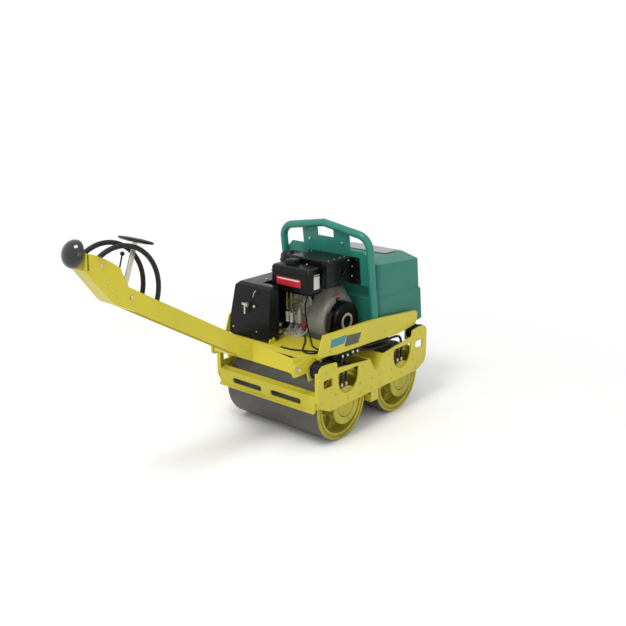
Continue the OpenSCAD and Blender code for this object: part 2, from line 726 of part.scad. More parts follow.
// Bulkhead plate in the hoop, with three windows that follow the slope of the top bars
hoop_plate_t = 6;
plate_ahead = 9;
strut_in = 56;
strut_out = 162;
mid_window_drop = 80;
side_window_drop = 136;
mid_window_low = hoop_h - mid_window_drop;
side_window_low = hoop_h - side_window_drop;
side_window_corner = 246;
plate_low = 268;
plate_reach = sqrt(pow(hoop_d/2, 2) - pow(plate_ahead - hoop_plate_t/2, 2)) + seat_gap;
function under_bar(y) = hoop_h - plate_reach/cos(gable_deg) - y*tan(gable_deg);
plate_half = hoop_w/2 - plate_reach;
module hoop_plate() {
  color("#35876f") at_base() in_hoop_plane() yz_part(both_sides([[0, plate_low], [plate_half, plate_low],
      [plate_half, side_window_low - hoop_d*0.8], [side_window_corner, side_window_low],
      [strut_out, side_window_low], [strut_out, under_bar(strut_out)], [strut_in, under_bar(strut_in)],
      [strut_in, mid_window_low], [0, mid_window_low]]),
      plate_ahead - hoop_plate_t/2, plate_ahead + hoop_plate_t/2);
}

// Water tank: a hollow moulding with a step round its middle and a chamfered, falling top
function tank_ring(inset, z, r, fall, lean_share) =
    box_ring(tank_rear - (z - tank_z)*lean_share + inset, tank_front - (z - tank_z)*front_lean_share - inset,
        inset - tank_half, tank_half - inset, r, z, fall);
rear_lean_share = 0.04;
front_lean_share = 0.11;
chamfer_w = 96;
tank_edge = 8;
tank_lip = 5;
corner_loss = 4;
lip_loss = 6;
step_z = tank_z + tank_h*tank_step_share;
shoulder_z = tank_z + tank_h*tank_shoulder_share;
function tank_rings(wall) = [
    tank_ring(wall + tank_edge, tank_z + wall, tank_corner_r, 0, rear_lean_share),
    tank_ring(wall, tank_z + wall + tank_edge, tank_corner_r, 0, rear_lean_share),
    tank_ring(wall, step_z - tank_step*0.4, tank_corner_r, step_fall_share, rear_lean_share),
    tank_ring(wall + tank_step, step_z + tank_step*0.6, tank_corner_r - corner_loss, step_fall_share,
        rear_lean_share),
    tank_ring(wall + tank_step, shoulder_z - wall*0.5, tank_corner_r - corner_loss, top_fall_share*1.4,
        rear_lean_share),
    tank_ring(wall + tank_step + tank_lip, shoulder_z + tank_lip - wall*0.6, tank_corner_r - lip_loss,
        top_fall_share*1.4, rear_lean_share)];
function tank_top_ring(wall) = let (k = wall + tank_step + tank_lip)
    [for (q = box_ring(tank_rear + k - rear_lean_share*tank_h, tank_front - k - front_lean_share*tank_h,
        k + chamfer_w - tank_half, tank_half - k - chamfer_w, tank_corner_r - lip_loss,
        tank_z + tank_h - wall, top_fall_share)) q];
module water_tank() {
  color("#3e7f6f") at_base() difference() {
    loft(concat(tank_rings(0), [tank_top_ring(0)]));
    loft(concat(tank_rings(tank_wall), [tank_top_ring(tank_wall)]));
    translate([tank_cap_x, tank_cap_y, tank_z + tank_h - tank_wall*5]) cylinder(d = tank_cap_d*0.7, h = tank_wall*8);
  }
}

// Grey panel that lies on the tank's falling top
lid_back = 58;
lid_edge = 3;
lid_corner = 20;
cap_back = 80;
lid_front = tank_front - lid_back - front_lean_share*tank_h;
lid_len = 130;
lid_half = 174;
lid_t = 8;
tank_cap_x = tank_rear + cap_back;
tank_cap_y = 150;
function tank_top_z(x) = tank_z + tank_h
    - top_fall_share*(x - tank_rear - tank_step - tank_lip + rear_lean_share*tank_h);
module tank_lid() {
  color("#9b979c") at_base() loft([for (s = [[lid_edge, seat_gap], [0, seat_gap + lid_edge],
      [0, lid_t - lid_edge], [lid_edge, lid_t]])
      box_ring(lid_front - lid_len + s[0], lid_front - s[0], s[0] - lid_half, lid_half - s[0], lid_corner,
          tank_top_z(lid_front - lid_len + s[0]) + s[1], top_fall_share)]);
}

// Screw cap of the tank, with finger ribs
cap_h = 16;
cap_rib_count = 16;
module tank_cap() {
  color("#222222") at_base() translate([tank_cap_x, tank_cap_y, tank_top_z(tank_cap_x - tank_cap_d/2) + seat_gap])
      screw_cap(tank_cap_d, cap_h, cap_rib_count);
}
module screw_cap(d, h, ribs) {
  cylinder(d = d*0.94, h = h);
  for (i = [0:ribs - 1]) rotate([0, 0, 360*i/ribs]) translate([d*0.45, -d*0.03, 0]) cube([d*0.05, d*0.06, h*0.85]);
  translate([0, 0, h]) cylinder(d1 = d*0.8, d2 = d*0.7, h = h*0.12);
}

// Sprinkler pipes over the drums, hung from the deck and the cradle on two straps each
pipe_d = 24;
pipe_half = 270;
pipe_rise = 34;
pipe_shift = 30;
pipe_z = drum_d + pipe_rise;
pipe_x = axle_x - pipe_shift;
strap_w = 24;
spray_d = 3;
spray_count = 6;
module sprinkler_pipes() {
  color("#303030") at_base()
      for (s = [[-1, deck_z - deck_t], [1, cradle_z - plate_t]]) translate([s[0]*pipe_x, 0, 0]) {
    difference() {
      translate([0, 0, pipe_z]) rod_y(pipe_d, -pipe_half, pipe_half);
      for (k = [-spray_count:spray_count]) translate([0, k*pipe_half/(spray_count + 1), pipe_z - pipe_d])
          cylinder(d = spray_d, h = pipe_d, $fn = 16);
    }
    both_y() box([-pipe_d*0.2, pipe_half*0.7 - strap_w/2, pipe_z + pipe_d*0.4],
        [pipe_d*0.2, pipe_half*0.7 + strap_w/2, s[1] - seat_gap]);
  }
}

// Engine

module at_crank() {
  translate([-crank_back, 0, deck_z + crank_h]) children();
}
case_y0 = -40;
case_y1 = case_y0 + case_len;
case_foot_half = 118;
case_top = 92;
case_end_t = 12;
case_end_share = 1.04;
case_rib_t = 6;
case_rib_count = 4;
case_cover_t = 6;
case_cover_w = 116;
case_cover_y = 36;
case_cover_share = [0.14, 0.64];
neck_d = 24;
neck_len = 10;
oil_y = -6;
oil_z_share = 0.28;
throttle_pin_d = 10;
throttle_boss_d = 22;
throttle_y = 88;
throttle_z_share = 0.78;
throttle_boss_out = 6;
// Crankcase outline as shares of its half width and of its height above the deck, from the foot
case_share = [[0, 0.0], [1, 0.0], [1, 0.08], [0.9, 0.12], [0.9, 0.66], [0.86, 0.8], [0.7, 1], [0, 1]];
case_h = crank_h + case_top;
case_side = case_foot_half*case_share[4][0];
module crankcase() {
  color("#8b8d86") at_base() difference() {
    translate([-crank_back, 0, deck_z]) {
      xz_part(both_sides(scaled(case_share, case_foot_half, case_h)), case_y0 + case_end_t, case_y1 - case_end_t);
      for (y = [case_y0, case_y1 - case_end_t])
        xz_part(both_sides(scaled(case_share, case_foot_half*case_end_share, case_h)), y, y + case_end_t);
      // ribs on the front, a gear cover, the oil filler's neck and the throttle's boss on the rear
      for (k = [1:case_rib_count]) translate([0, case_y0 + k*case_len/(case_rib_count + 1), 0])
        box([case_side - overrun, -case_rib_t/2, case_h*case_share[3][1]],
            [case_foot_half, case_rib_t/2, case_h*case_share[4][1]]);
      translate([0, case_cover_y, case_h*(case_cover_share[0] + case_cover_share[1])/2])
          yz_part(round_rect(case_cover_w, case_h*(case_cover_share[1] - case_cover_share[0]), corner_r*2),
          -case_side - case_cover_t, overrun - case_side);
      translate([0, oil_y, case_h*oil_z_share]) rod_x(neck_d, -case_side - case_cover_t - neck_len, -case_side);
      translate([0, throttle_y, case_h*throttle_z_share])
          rod_x(throttle_boss_d, -case_foot_half - throttle_boss_out, -case_side*case_share[6][0]);
    }
    at_crank() rod_y(main_d + 2*running_gap, case_y0 - overrun, case_y1 + overrun);
    translate([-crank_back, throttle_y, deck_z + case_h*throttle_z_share])
        rod_x(throttle_pin_d + 2*running_gap, -case_foot_half*2, throttle_pin_d - case_side);
  }
}
main_d = 44;

// Cylinder barrel with thin square fins, and the head with its rocker cover
cyl_y = 30;
cyl_top = 186;
fin_t = 4;
fin_half_x = 76;
fin_half_y = 66;
fin_corner = 14;
barrel_share = 1.5;
module engine_cylinder() {
  color("#9b9d97") at_base() translate([-crank_back, cyl_y, deck_z + case_h + seat_gap]) {
    h = cyl_top - case_top - seat_gap*2;
    post(fin_half_x*barrel_share, h);
    for (i = [0:fin_count - 1]) translate([0, 0, (h - fin_t)*i/(fin_count - 1)])
        linear_extrude(height = fin_t) polygon(round_rect(2*fin_half_x, 2*fin_half_y, fin_corner));
  }
}
module post(d, h) {
  cylinder(d = d, h = h);
}
head_h = 22;
rocker_drop = 4;
head_bolt_d = 12;
head_plate_share = 0.98;
module cylinder_head() {
  color("#a4a6a0") at_base() translate([-crank_back, cyl_y, deck_z + crank_h + cyl_top]) {
    linear_extrude(height = head_h*0.5)
        polygon(round_rect(2*fin_half_x*head_plate_share, 2*fin_half_y*head_plate_share, fin_corner));
    translate([0, 0, head_h*0.5]) linear_extrude(height = head_h*0.5 - rocker_drop)
        polygon(round_rect(barrel_share*fin_half_x, barrel_share*fin_half_y, fin_corner));
    for (x = [-1, 1]) for (y = [-1, 1]) translate([x*fin_half_x*0.86, y*fin_half_y*0.82, head_h*0.5])
        post(head_bolt_d, head_h*0.3);
  }
}

// Fan housing: a cowl that grows from a round front into a teardrop at the cylinder
fan_y1 = case_y0 - seat_gap;
fan_y0 = fan_y1 - fan_depth;
fan_t = 5;
intake_r = 97;
fan_points = 48;
// The teardrop's three flat runs: the direction that each faces and its distance as a share of the radius
fan_run_deg = [20, 81, 138];
fan_run_share = [1, 1.245, 1];
function run_reach(a, k) = cos(a - fan_run_deg[k]) > 0.4 ? fan_run_share[k]/cos(a - fan_run_deg[k]) : 3;
function cowl_reach(a) = a > fan_run_deg[0] && a < fan_run_deg[2] ?
    min(run_reach(a, 0), run_reach(a, 1), run_reach(a, 2)) : 1;
// Sections from the front to the back: share of the depth, of the radius and of the teardrop's growth
cowl_share = [[0, 0.9, 0], [0.05, 0.955, 0.06], [0.13, 0.99, 0.2], [0.36, 1, 0.8], [0.5, 1, 1], [1, 1, 1]];
function cowl_ring(s, wall) = [for (i = [0:fan_points - 1])
    let (a = 360*i/fan_points, r = fan_r*s[1]*(1 + s[2]*(cowl_reach(a) - 1)) - wall)
    [r*cos(a), r*sin(a), -s[0]*fan_depth]];
// The form reaches past its open or closed ends by a length that may be negative
module cowl(wall, reach) {
  last = len(cowl_share) - 1;
  translate([0, fan_y1, 0]) rotate([90, 0, 0]) loft([for (i = [last:-1:0]) let (s = cowl_share[i])
      [for (q = cowl_ring(s, wall)) [q[0], q[1], fan_depth + q[2] + (i == 0 ? reach : i == last ? -reach : 0)]]]);
}
module fan_housing() {
  color("#77776c") at_base() at_crank() difference() {
    cowl(0, 0);
    cowl(fan_t, -fan_t);
    rod_y(2*intake_r, fan_y0 - overrun, fan_y0 + fan_depth/2);
    rod_y(main_d*2.4, fan_y1 - fan_depth/2, fan_y1 + overrun);
  }
}

// Recoil cover: a slotted cup with a raised ring on its face, on three feet
recoil_depth = 50;
recoil_t = 3;
recoil_slots = 12;
recoil_ring_share = [0.25, 0.48];
recoil_ring_rise = 1;
foot_len = 30;
foot_w = 26;
foot_corner = 6;
foot_t = 6;
foot_hole_d = 7;
foot_reach_deg = [20, 140, 260];
// Profile from the middle of the face outward: shares of the radius and of the depth
recoil_share = [[0, 0], [0.9, 0], [0.955, 0.05], [0.97, 0.16], [1, 1]];
module recoil_cover() {
  color("#202020") at_base() at_crank() {
    y0 = fan_y0 - recoil_depth - seat_gap;
    difference() {
      turned_y(concat([for (q = recoil_share) [recoil_r*q[0], y0 + recoil_depth*q[1]]],
          [for (i = [len(recoil_share) - 1:-1:1]) let (q = recoil_share[i])
          [recoil_r*q[0] - recoil_t, y0 + recoil_depth*q[1] + (i < 4 ? recoil_t : 0)]], [[0, y0 + recoil_t]]));
      for (i = [0:recoil_slots - 1]) rotate([0, 360*(i + 0.5)/recoil_slots, 0])
          box([recoil_r*0.9, y0 + recoil_depth*0.45, -recoil_r*0.07],
              [recoil_r*1.1, y0 + recoil_depth*0.8, recoil_r*0.07]);
    }
    turned_y([for (q = [[0, -1], [1, -1], [1, 1], [0, 1]])
        [recoil_r*recoil_ring_share[q[0]], y0 + q[1]*recoil_ring_rise]]);
    for (a = foot_reach_deg) rotate([0, a, 0]) difference() {
      xz_part(moved(round_rect(foot_len, foot_w, foot_corner), recoil_r + foot_len*0.27, 0),
          fan_y0 - foot_t, fan_y0 - seat_gap);
      translate([recoil_r + foot_len*0.43, 0, 0]) rod_y(foot_hole_d, fan_y0 - foot_t - overrun, fan_y0 + overrun);
    }
  }
}

// Grip of the recoil starter, parked against its guide on the cover
grip_len = 84;
grip_turn_deg = 8.5;
grip_d = 24;
grip_nose_share = 0.62;
module starter_grip() {
  color("#1c1c1c") at_base() at_crank() rotate([0, grip_turn_deg, 0])
      translate([-recoil_r - grip_d*grip_nose_share - seat_gap, fan_y0 - recoil_depth/2, 0]) {
    translate([0, 0, -grip_len/2]) {
      linear_extrude(height = grip_len) circle(d = grip_d);
      sphere(d = grip_d);
      translate([0, 0, grip_len]) sphere(d = grip_d);
    }
    rod_x(grip_d*0.5, 0, grip_d*grip_nose_share + recoil_r*0.015);
  }
}

// Flywheel with curved fan blades on its face
blade_count = 18;
nose_r = main_d*0.3;
fan_blade_w = 34;
fan_blade_t = 3;
fan_blade_deg = [-8, 28];
fan_blade_share = [0.3, 0.62, 0.22];
// Shares of the cowl's radius and depth; the first and the last are the bore's ends
flywheel_share = [[0, 0.42], [0.243, 0.42], [0.273, 0.27], [0.78, 0.24], [0.78, 0.07], [0.273, 0.11], [0, 0.11]];
module flywheel_fan() {
  color("#6f7074") at_base() at_crank() {
    turned_y([for (q = flywheel_share) [q[0] == 0 ? nose_r + running_gap : fan_r*q[0], fan_y1 - fan_depth*q[1]]]);
    for (i = [0:blade_count - 1]) rotate([0, 360*i/blade_count, 0]) rotate([90, 0, 0])
        translate([0, 0, fan_depth*fan_blade_share[2] - fan_y1]) linear_extrude(height = fan_blade_w)
        polygon(folded(arc(0, fan_r*fan_blade_share[0], fan_r*fan_blade_share[1],
            fan_blade_deg[0], fan_blade_deg[1], 4), fan_blade_t));
  }
}

// Crankshaft: slim nose, main journal and the coupling flange for the pump
nose_len = 60;
main_shoulder = 6;
coupling_t = 12;
coupling_r = main_d*0.8;
module crankshaft() {
  color("#a9abad") at_base() at_crank() {
    turned_y([[0, fan_y1 - nose_len], [nose_r, fan_y1 - nose_len], [nose_r, fan_y1 - main_shoulder],
        [main_d/2, fan_y1 - main_shoulder], [main_d/2, case_y1 + main_shoulder], [coupling_r, case_y1 + main_shoulder],
        [coupling_r, case_y1 + main_shoulder + coupling_t], [0, case_y1 + main_shoulder + coupling_t]]);
  }
}

// Hydraulic pump on its bell housing, with two ports on top
pump_len = 150;
bell_r = 70;
pump_port_d = 26;
// Shares of the bell's radius and of the length, from the foot of the bell to the bottom of its hollow
pump_share = [[1, 0], [1, 0.053], [0.9, 0.067], [0.8, 0.267], [0.8, 0.32], [0.66, 0.333], [0.66, 0.867],
    [0.5, 1], [0, 1], [0, 0.175]];
pump_port_share = [0.5, 0.75];
module hydraulic_pump() {
  color("#3a3c40") at_base() at_crank() translate([0, case_y1 + seat_gap, 0]) {
    turned_y(concat([[main_d, 0]], scaled(pump_share, bell_r, pump_len), [[main_d, pump_len*pump_share[9][1]]]));
    for (q = pump_port_share) translate([0, pump_len*q, bell_r*0.5]) post(pump_port_d, bell_r*0.4);
  }
}

// Injection pump on the gear cover: block, barrel, outlet union and rack housing
case_face_x = -crank_back - case_side - case_cover_t - seat_gap;
injector_y = 26;
injector_w = 36;
injector_h = 40;
injector_drop = 24;
injector_corner = 8;
barrel_d = 26;
barrel_h = 30;
union_d = 18;
union_h = 14;
rack_d = 17;
rack_h = 44;
rack_w = 16;
rack_y = 27;
module injection_pump() {
  color("#b7b9b2") at_base() translate([case_face_x, injector_y, deck_z + case_h*0.5]) {
    translate([-injector_w/2, 0, -injector_drop]) linear_extrude(height = injector_h)
        polygon(round_rect(injector_w, injector_h, injector_corner));
    translate([-injector_w/2, 0, injector_h - injector_drop]) post(barrel_d, barrel_h);
    translate([-injector_w/2, 0, injector_h - injector_drop + barrel_h]) post(union_d, union_h);
    translate([-rack_w*0.9, rack_y, -rack_w]) post(rack_d, rack_h);
    box([-rack_w*0.9, injector_w/4, -rack_w/2], [0, rack_y, rack_w/2]);
  }
}

// Two fuel filter bowls whose arms reach the gear cover and, beside it, the crankcase's end plate
filter_y = [77, 105];
filter_back = 24;
bowl_d = 20;
bowl_h = 44;
filter_head_d = 26;
filter_head_h = 10;
module fuel_filter() {
  color("#e6e6e2") at_base() for (y = filter_y) translate([case_face_x - filter_back, y, deck_z + case_h*0.32]) {
    post(bowl_d, bowl_h);
    translate([0, 0, bowl_h]) post(filter_head_d, filter_head_h);
    deeper = y > case_cover_y + case_cover_w/2 ? case_cover_t - case_side*(case_end_share - 1) : 0;
    box([bowl_d*0.3, -filter_head_h/2, bowl_h], [filter_back + deeper, filter_head_h/2, bowl_h + filter_head_h]);
  }
}

oil_cap_d = 32;
oil_cap_h = 14;
oil_cap_rib_count = 10;
module oil_cap() {
  color("#b3203a") at_base()
      translate([-crank_back - case_side - case_cover_t - neck_len - seat_gap, oil_y, deck_z + case_h*oil_z_share])
      rotate([0, -90, 0]) screw_cap(oil_cap_d, oil_cap_h, oil_cap_rib_count);
}

// Engine speed lever in the boss on the crankcase
throttle_x = -crank_back - case_foot_half - throttle_boss_out - seat_gap;
throttle_z = deck_z + case_h*throttle_z_share;
throttle_len = 60;
throttle_t = 5;
throttle_hub_r = 10;
throttle_tip_r = 7;
throttle_pin_out = 8;
module throttle_lever() {
  color("#c8c8c4") at_base() translate([throttle_x, throttle_y, throttle_z]) {
    rod_x(throttle_pin_d, -throttle_pin_out, case_foot_half*0.2);
    yz_part(concat(arc(0, 0, throttle_hub_r, 180, 360, 10), arc(0, throttle_len, throttle_tip_r, 0, 180, 8)),
        -throttle_t, 0);
  }
}

// Fuel tank: a hollow rounded box with a seam flange, on two straps at the cylinder head
fuel_back = 242;
fuel_rise = 253;
fuel_x = -crank_back - fuel_back;
fuel_z = deck_z + fuel_rise;
fuel_y0 = -140;
fuel_wall = 4;
fuel_corner = 22;
fuel_edge = 16;
fuel_cap_d = 74;
fuel_cap_h = 24;
fuel_cap_rib_count = 12;
fuel_cap_x = fuel_x + fuel_len*0.58;
fuel_cap_y = 34;
fuel_strap_y = [-44, 24];
fuel_strap_w = 20;
fuel_strap_t = 6;
fuel_seam_t = 4;
fuel_seam_out = 3;
fuel_seam_share = 0.72;
module fuel_form(wall) {
  loft(moulded_rings(fuel_x + wall, fuel_x + fuel_len - wall, fuel_y0 + wall, fuel_y0 + fuel_w - wall,
      fuel_z + wall, fuel_z + fuel_h - wall, fuel_corner - wall/2, fuel_edge - wall/2, 0));
}
module fuel_seam(out, height) {
  linear_extrude(height = height) polygon(round_rect(fuel_len + 2*out, fuel_w + 2*out, fuel_corner));
}
module fuel_tank() {
  color("#232323") at_base() {
    difference() {
      fuel_form(0);
      fuel_form(fuel_wall);
      translate([fuel_cap_x, fuel_cap_y, fuel_z + fuel_h - fuel_wall*4]) post(fuel_cap_d*0.6, fuel_wall*6);
    }
    for (y = fuel_strap_y) translate([0, cyl_y + y, fuel_z + fuel_strap_w])
        box([fuel_x + fuel_len - fuel_wall/2, 0, -fuel_strap_t/2],
            [-crank_back - fin_half_x*head_plate_share - seat_gap, fuel_strap_w, fuel_strap_t/2]);
    translate([fuel_x + fuel_len/2, fuel_y0 + fuel_w/2, fuel_z + fuel_h*fuel_seam_share]) difference() {
      fuel_seam(fuel_seam_out, fuel_seam_t);
      translate([0, 0, -overrun]) fuel_seam(-fuel_wall/2, fuel_seam_t + 2*overrun);
    }
  }
}
module fuel_cap() {
  color("#1b1b1b") at_base() translate([fuel_cap_x, fuel_cap_y, fuel_z + fuel_h + seat_gap])
      screw_cap(fuel_cap_d, fuel_cap_h, fuel_cap_rib_count);
}

// Silencer box whose front wall leans with the hoop, and the flange that bolts it to the hoop plate
silencer_rise = 425;
silencer_corner = 12;
silencer_edge = 8;
outlet_back = 92;
outlet_wall = 3;
outlet_gap = 5;
port_x = 30;
port_y = 20;
port_in = 10;
silencer_top = deck_z + silencer_rise;
silencer_y0 = -180;
silencer_flange_t = 6;
silencer_front = hoop_plane(silencer_top - deck_z)
    + (plate_ahead - hoop_plate_t/2 - silencer_flange_t)/cos(hoop_lean_deg);
silencer_x0 = silencer_front - silencer_len;
outlet_x = silencer_front - outlet_back;
outlet_z = silencer_top - silencer_h*0.5;
outlet_len = 14;
shield_t = 4;
shield_back = 36;
shield_return = 30;
shield_front = 10;
module silencer_box() {
  color("#262626") at_base() difference() {
    union() {
      loft(moulded_rings(silencer_x0, silencer_front - seat_gap, silencer_y0, silencer_y0 + silencer_w,
          silencer_top - silencer_h, silencer_top, silencer_corner, silencer_edge, tan(hoop_lean_deg)));
      box([-crank_back - port_x, cyl_y - port_y, deck_z + crank_h + cyl_top + head_h - rocker_drop + seat_gap],
          [-crank_back + port_x, cyl_y + port_y, silencer_top - silencer_h + port_in]);
      // heat shield: a side plate with its rear edge folded in
      x0 = silencer_x0 - shield_back;
      x1 = silencer_front - shield_front;
      xy_part(moved([[x0, shield_return], [x0, -shield_t], [x1, -shield_t], [x1, overrun], [x0 + shield_t, overrun],
          [x0 + shield_t, shield_return]], 0, silencer_y0), silencer_top - silencer_h, silencer_top - overrun);
    }
    translate([outlet_x, 0, outlet_z]) {
      rod_y(outlet_bore, silencer_y0 - shield_t - overrun, silencer_y0 + outlet_len*3);
      turned_y([for (q = [[0, 0], [1, 0], [1, 1], [0, 1]]) [outlet_bore/2 + outlet_wall + q[0]*outlet_gap,
          q[1] == 0 ? silencer_y0 - shield_t - overrun : silencer_y0 + outlet_len]]);
    }
  }
}
flange_x = plate_ahead - hoop_plate_t/2;
flange_out = 42;
flange_bolt_d = 10;
flange_corner = 8;
flange_bolt_in = 16;
flange_y0 = silencer_y0 - flange_out;
flange_y1 = silencer_y0 + silencer_w + flange_out*0.48;
flange_top_gap = 4;
flange_low_reach = 18;
module silencer_flange() {
  color("#202020") at_base() in_hoop_plane() {
    v1 = (silencer_top - deck_z)/cos(hoop_lean_deg) - flange_top_gap;
    v0 = v1 - silencer_h - flange_low_reach;
    translate([0, (flange_y0 + flange_y1)/2, (v0 + v1)/2])
        yz_part(round_rect(flange_y1 - flange_y0, v1 - v0, flange_corner), flange_x - silencer_flange_t, flange_x);
    for (y = [flange_y0 + flange_bolt_in, flange_y1 - flange_bolt_in*0.6])
      for (v = [v0 + flange_bolt_in, v1 - flange_bolt_in])
        translate([flange_x - silencer_flange_t, y, v]) rotate([0, -90, 0]) bolt_head(flange_bolt_d);
  }
}

// Round air cleaner on the far side of the head, with an elbow down to the head
cleaner_d = 124;
cleaner_back = 20;
cleaner_x = -crank_back - cleaner_back;
cleaner_y = 175;
cleaner_rise = 300;
cleaner_h = 112;
knob_d = 22;
knob_h = 12;
elbow_d = 19;
elbow_z = deck_z + crank_h + cyl_top + head_h/2;
cleaner_z = deck_z + cleaner_rise;
// Profile as shares of the radius and of the height
cleaner_share = [[0, 0], [0.84, 0], [1, 0.09], [1, 0.62], [1.06, 0.62], [1.06, 0.68], [1, 0.68], [0.96, 0.94],
    [0.84, 1], [0, 1]];
module air_cleaner() {
  color("#242424") at_base() {
    translate([cleaner_x, cleaner_y, cleaner_z]) {
      rotate_extrude() polygon(scaled(cleaner_share, cleaner_d/2, cleaner_h));
      translate([0, 0, cleaner_h]) post(knob_d, knob_h);
    }
    translate([cleaner_x, 0, elbow_z]) rod_y(elbow_d, cyl_y + fin_half_y*head_plate_share + seat_gap, cleaner_y);
    translate([cleaner_x, cleaner_y, elbow_z]) {
      sphere(d = elbow_d);
      cylinder(d = elbow_d, h = cleaner_z - elbow_z + overrun);
    }
  }
}

// Pump cover: a hood with a leaning side, open at the bottom, cut back beside the engine
cover_rear = -431;
cover_lean = 18;
cover_front = -132;
cover_gap = 8;
cover_h = 290;
cover_low = deck_z + cover_gap;
cover_top = cover_low + cover_h;
cover_y0 = 30;
cover_y1 = 145;
cover_inset = 2;
cover_side = rail_in - deck_t - cover_inset;
cover_top_side = 276;
cover_break_x = -348;
cover_bevel = 22;
module cover_form(inset, drop) {
  intersection() {
    yz_part([[cover_y0 + inset, cover_low - drop], [cover_side - inset, cover_low - drop],
        [cover_side - inset, deck_z + rail_h*1.05],
        [cover_top_side + cover_gap - inset, cover_top - cover_bevel - inset],
        [cover_top_side - cover_bevel/2 - inset, cover_top - inset], [cover_y0 + inset, cover_top - inset]],
        cover_rear, cover_front);
    xy_part([[cover_rear + inset, cover_y0 + inset], [cover_break_x - inset, cover_y0 + inset],
        [cover_break_x - inset, cover_y1 + inset], [cover_front - inset, cover_y1 + inset],
        [cover_front - inset, cover_side + inset], [cover_rear + inset, cover_side + inset]],
        cover_low - drop - overrun, cover_top + overrun);
    xz_part([[cover_rear + inset, cover_low - drop - overrun], [cover_rear + inset, cover_low],
        [cover_rear + cover_lean + inset, cover_top - cover_bevel*0.6 - inset*0.4],
        [cover_rear + cover_lean + cover_bevel + inset*0.4, cover_top - inset], [cover_front, cover_top - inset],
        [cover_front, cover_low - drop - overrun]], cover_y0, cover_side + overrun);
  }
}
latch_y = 190;
latch_rise = 186;
latch_z = deck_z + latch_rise;
latch_pin_d = 12;
latch_x = cover_rear + cover_lean*(latch_z - cover_low)/(cover_top - cover_bevel*0.6 - cover_low);
module pump_cover() {
  color("#252525") at_base() difference() {
    cover_form(0, 0);
    cover_form(cover_t, overrun*2);
    translate([0, latch_y, latch_z])
        rod_x(latch_pin_d + 2*running_gap, cover_rear - overrun, cover_rear + cover_lean + cover_t + overrun);
  }
}

// Quarter turn latch on the cover's rear face: rosette, T handle and the tongue behind the wall
rosette_d = 28;
rosette_gap = 1.3;
rosette_t = 6.7;
handle_w = 10;
handle_len = 56;
handle_top = 8;
handle_out = 24;
handle_t = 6;
tongue_t = 4;
tongue_gap = 2;
module cover_latch() {
  color("#cfd0d0") at_base() translate([latch_x, latch_y, latch_z]) {
    rod_x(latch_pin_d, -handle_out + handle_t/2, cover_t + tongue_gap + tongue_t);
    rod_x(rosette_d, -rosette_gap - rosette_t, -rosette_gap);
    box([-handle_out, -handle_w/2, handle_top - handle_len], [handle_t - handle_out, handle_w/2, handle_top]);
    box([-handle_out, -handle_w*2, 0], [handle_t - handle_out, handle_w*2, handle_top*1.5]);
    box([cover_t + tongue_gap, -handle_t, -handle_len*0.4],
        [cover_t + tongue_gap + tongue_t, handle_t, handle_len*0.4]);
  }
}

// Oil tank under the cover
oil_gap = 34;
oil_slack = 8;
oil_margin = 26;
oil_wall = 4;
oil_h = 176;
oil_corner = 14;
oil_neck_d = 34;
oil_neck_rise = 18;
module oil_block(inset, height) {
  linear_extrude(height) polygon(round_rect(cover_break_x - oil_slack - cover_rear - oil_gap - 2*inset,
      cover_side - cover_y0 - 2*(oil_margin + inset), oil_corner - inset));
}
module oil_tank() {
  color("#3c3f42") at_base() {
    x = (cover_rear + oil_gap + cover_break_x - oil_slack)/2;
    translate([x, (cover_y0 + cover_side)/2, deck_z]) difference() {
      union() {
        oil_block(0, oil_h);
        cylinder(d = oil_neck_d + 2*oil_wall, h = oil_h + oil_neck_rise);
      }
      translate([0, 0, oil_wall]) oil_block(oil_wall, oil_h - 2*oil_wall);
      translate([0, 0, oil_h/2]) cylinder(d = oil_neck_d, h = oil_h);
    }
  }
}

// Hoses between the upper and lower frames: a manifold under the deck on each side, two hoses to each
// motor, and a cable along the deck's rear edge. Places are shares of the deck's half length, its half
// width and its height.
hose_d = 14;
cable_d = 9;
function placed(q) = [q[0]*deck_rear, q[1]*rail_in, q[2]*deck_z];
block_share = [[-0.6273, 0.882, 0.88], [-0.2045, 0.9565, 0.96]];
block_post_share = [0.2, 0.8];
hose_rear_share = [[
    [-0.6182, 1.0391, 0.74], [-0.6182, 1.0373, 0.82], [-0.6045, 1.0186, 0.884], [-0.5818, 0.9876, 0.912],
    [-0.5591, 0.9575, 0.92]], [
    [-0.5341, 1.0391, 0.74], [-0.5318, 1.0373, 0.816], [-0.5091, 1.0186, 0.88], [-0.4864, 0.9876, 0.904],
    [-0.4682, 0.9575, 0.912]]];
hose_front_share = [[
    [-0.2039, 0.9255, 0.904], [-0.1364, 0.9379, 0.888], [0, 0.9689, 0.864], [0.2045, 0.9876, 0.848],
    [0.3864, 1.0062, 0.856], [0.4909, 1.0311, 0.848], [0.5295, 1.0391, 0.78]], [
    [-0.2039, 0.913, 0.936], [-0.1136, 0.9193, 0.924], [0.0682, 0.9379, 0.904], [0.2727, 0.9503, 0.892],
    [0.4545, 0.9752, 0.896], [0.5773, 1.0186, 0.892], [0.6136, 1.0391, 0.808]]];
cable_share = [
    [-0.4455, -0.0621, 1.01], [-0.5455, -0.1863, 1.01], [-0.6818, -0.3416, 1.01], [-0.8182, -0.4658, 1.01],
    [-0.9318, -0.5901, 1.01], [-0.9591, -0.7143, 1.01], [-0.9091, -0.8137, 1.01], [-0.75, -0.8509, 1.01],
    [-0.5909, -0.8447, 1.01], [-0.4886, -0.8323, 1.01]];
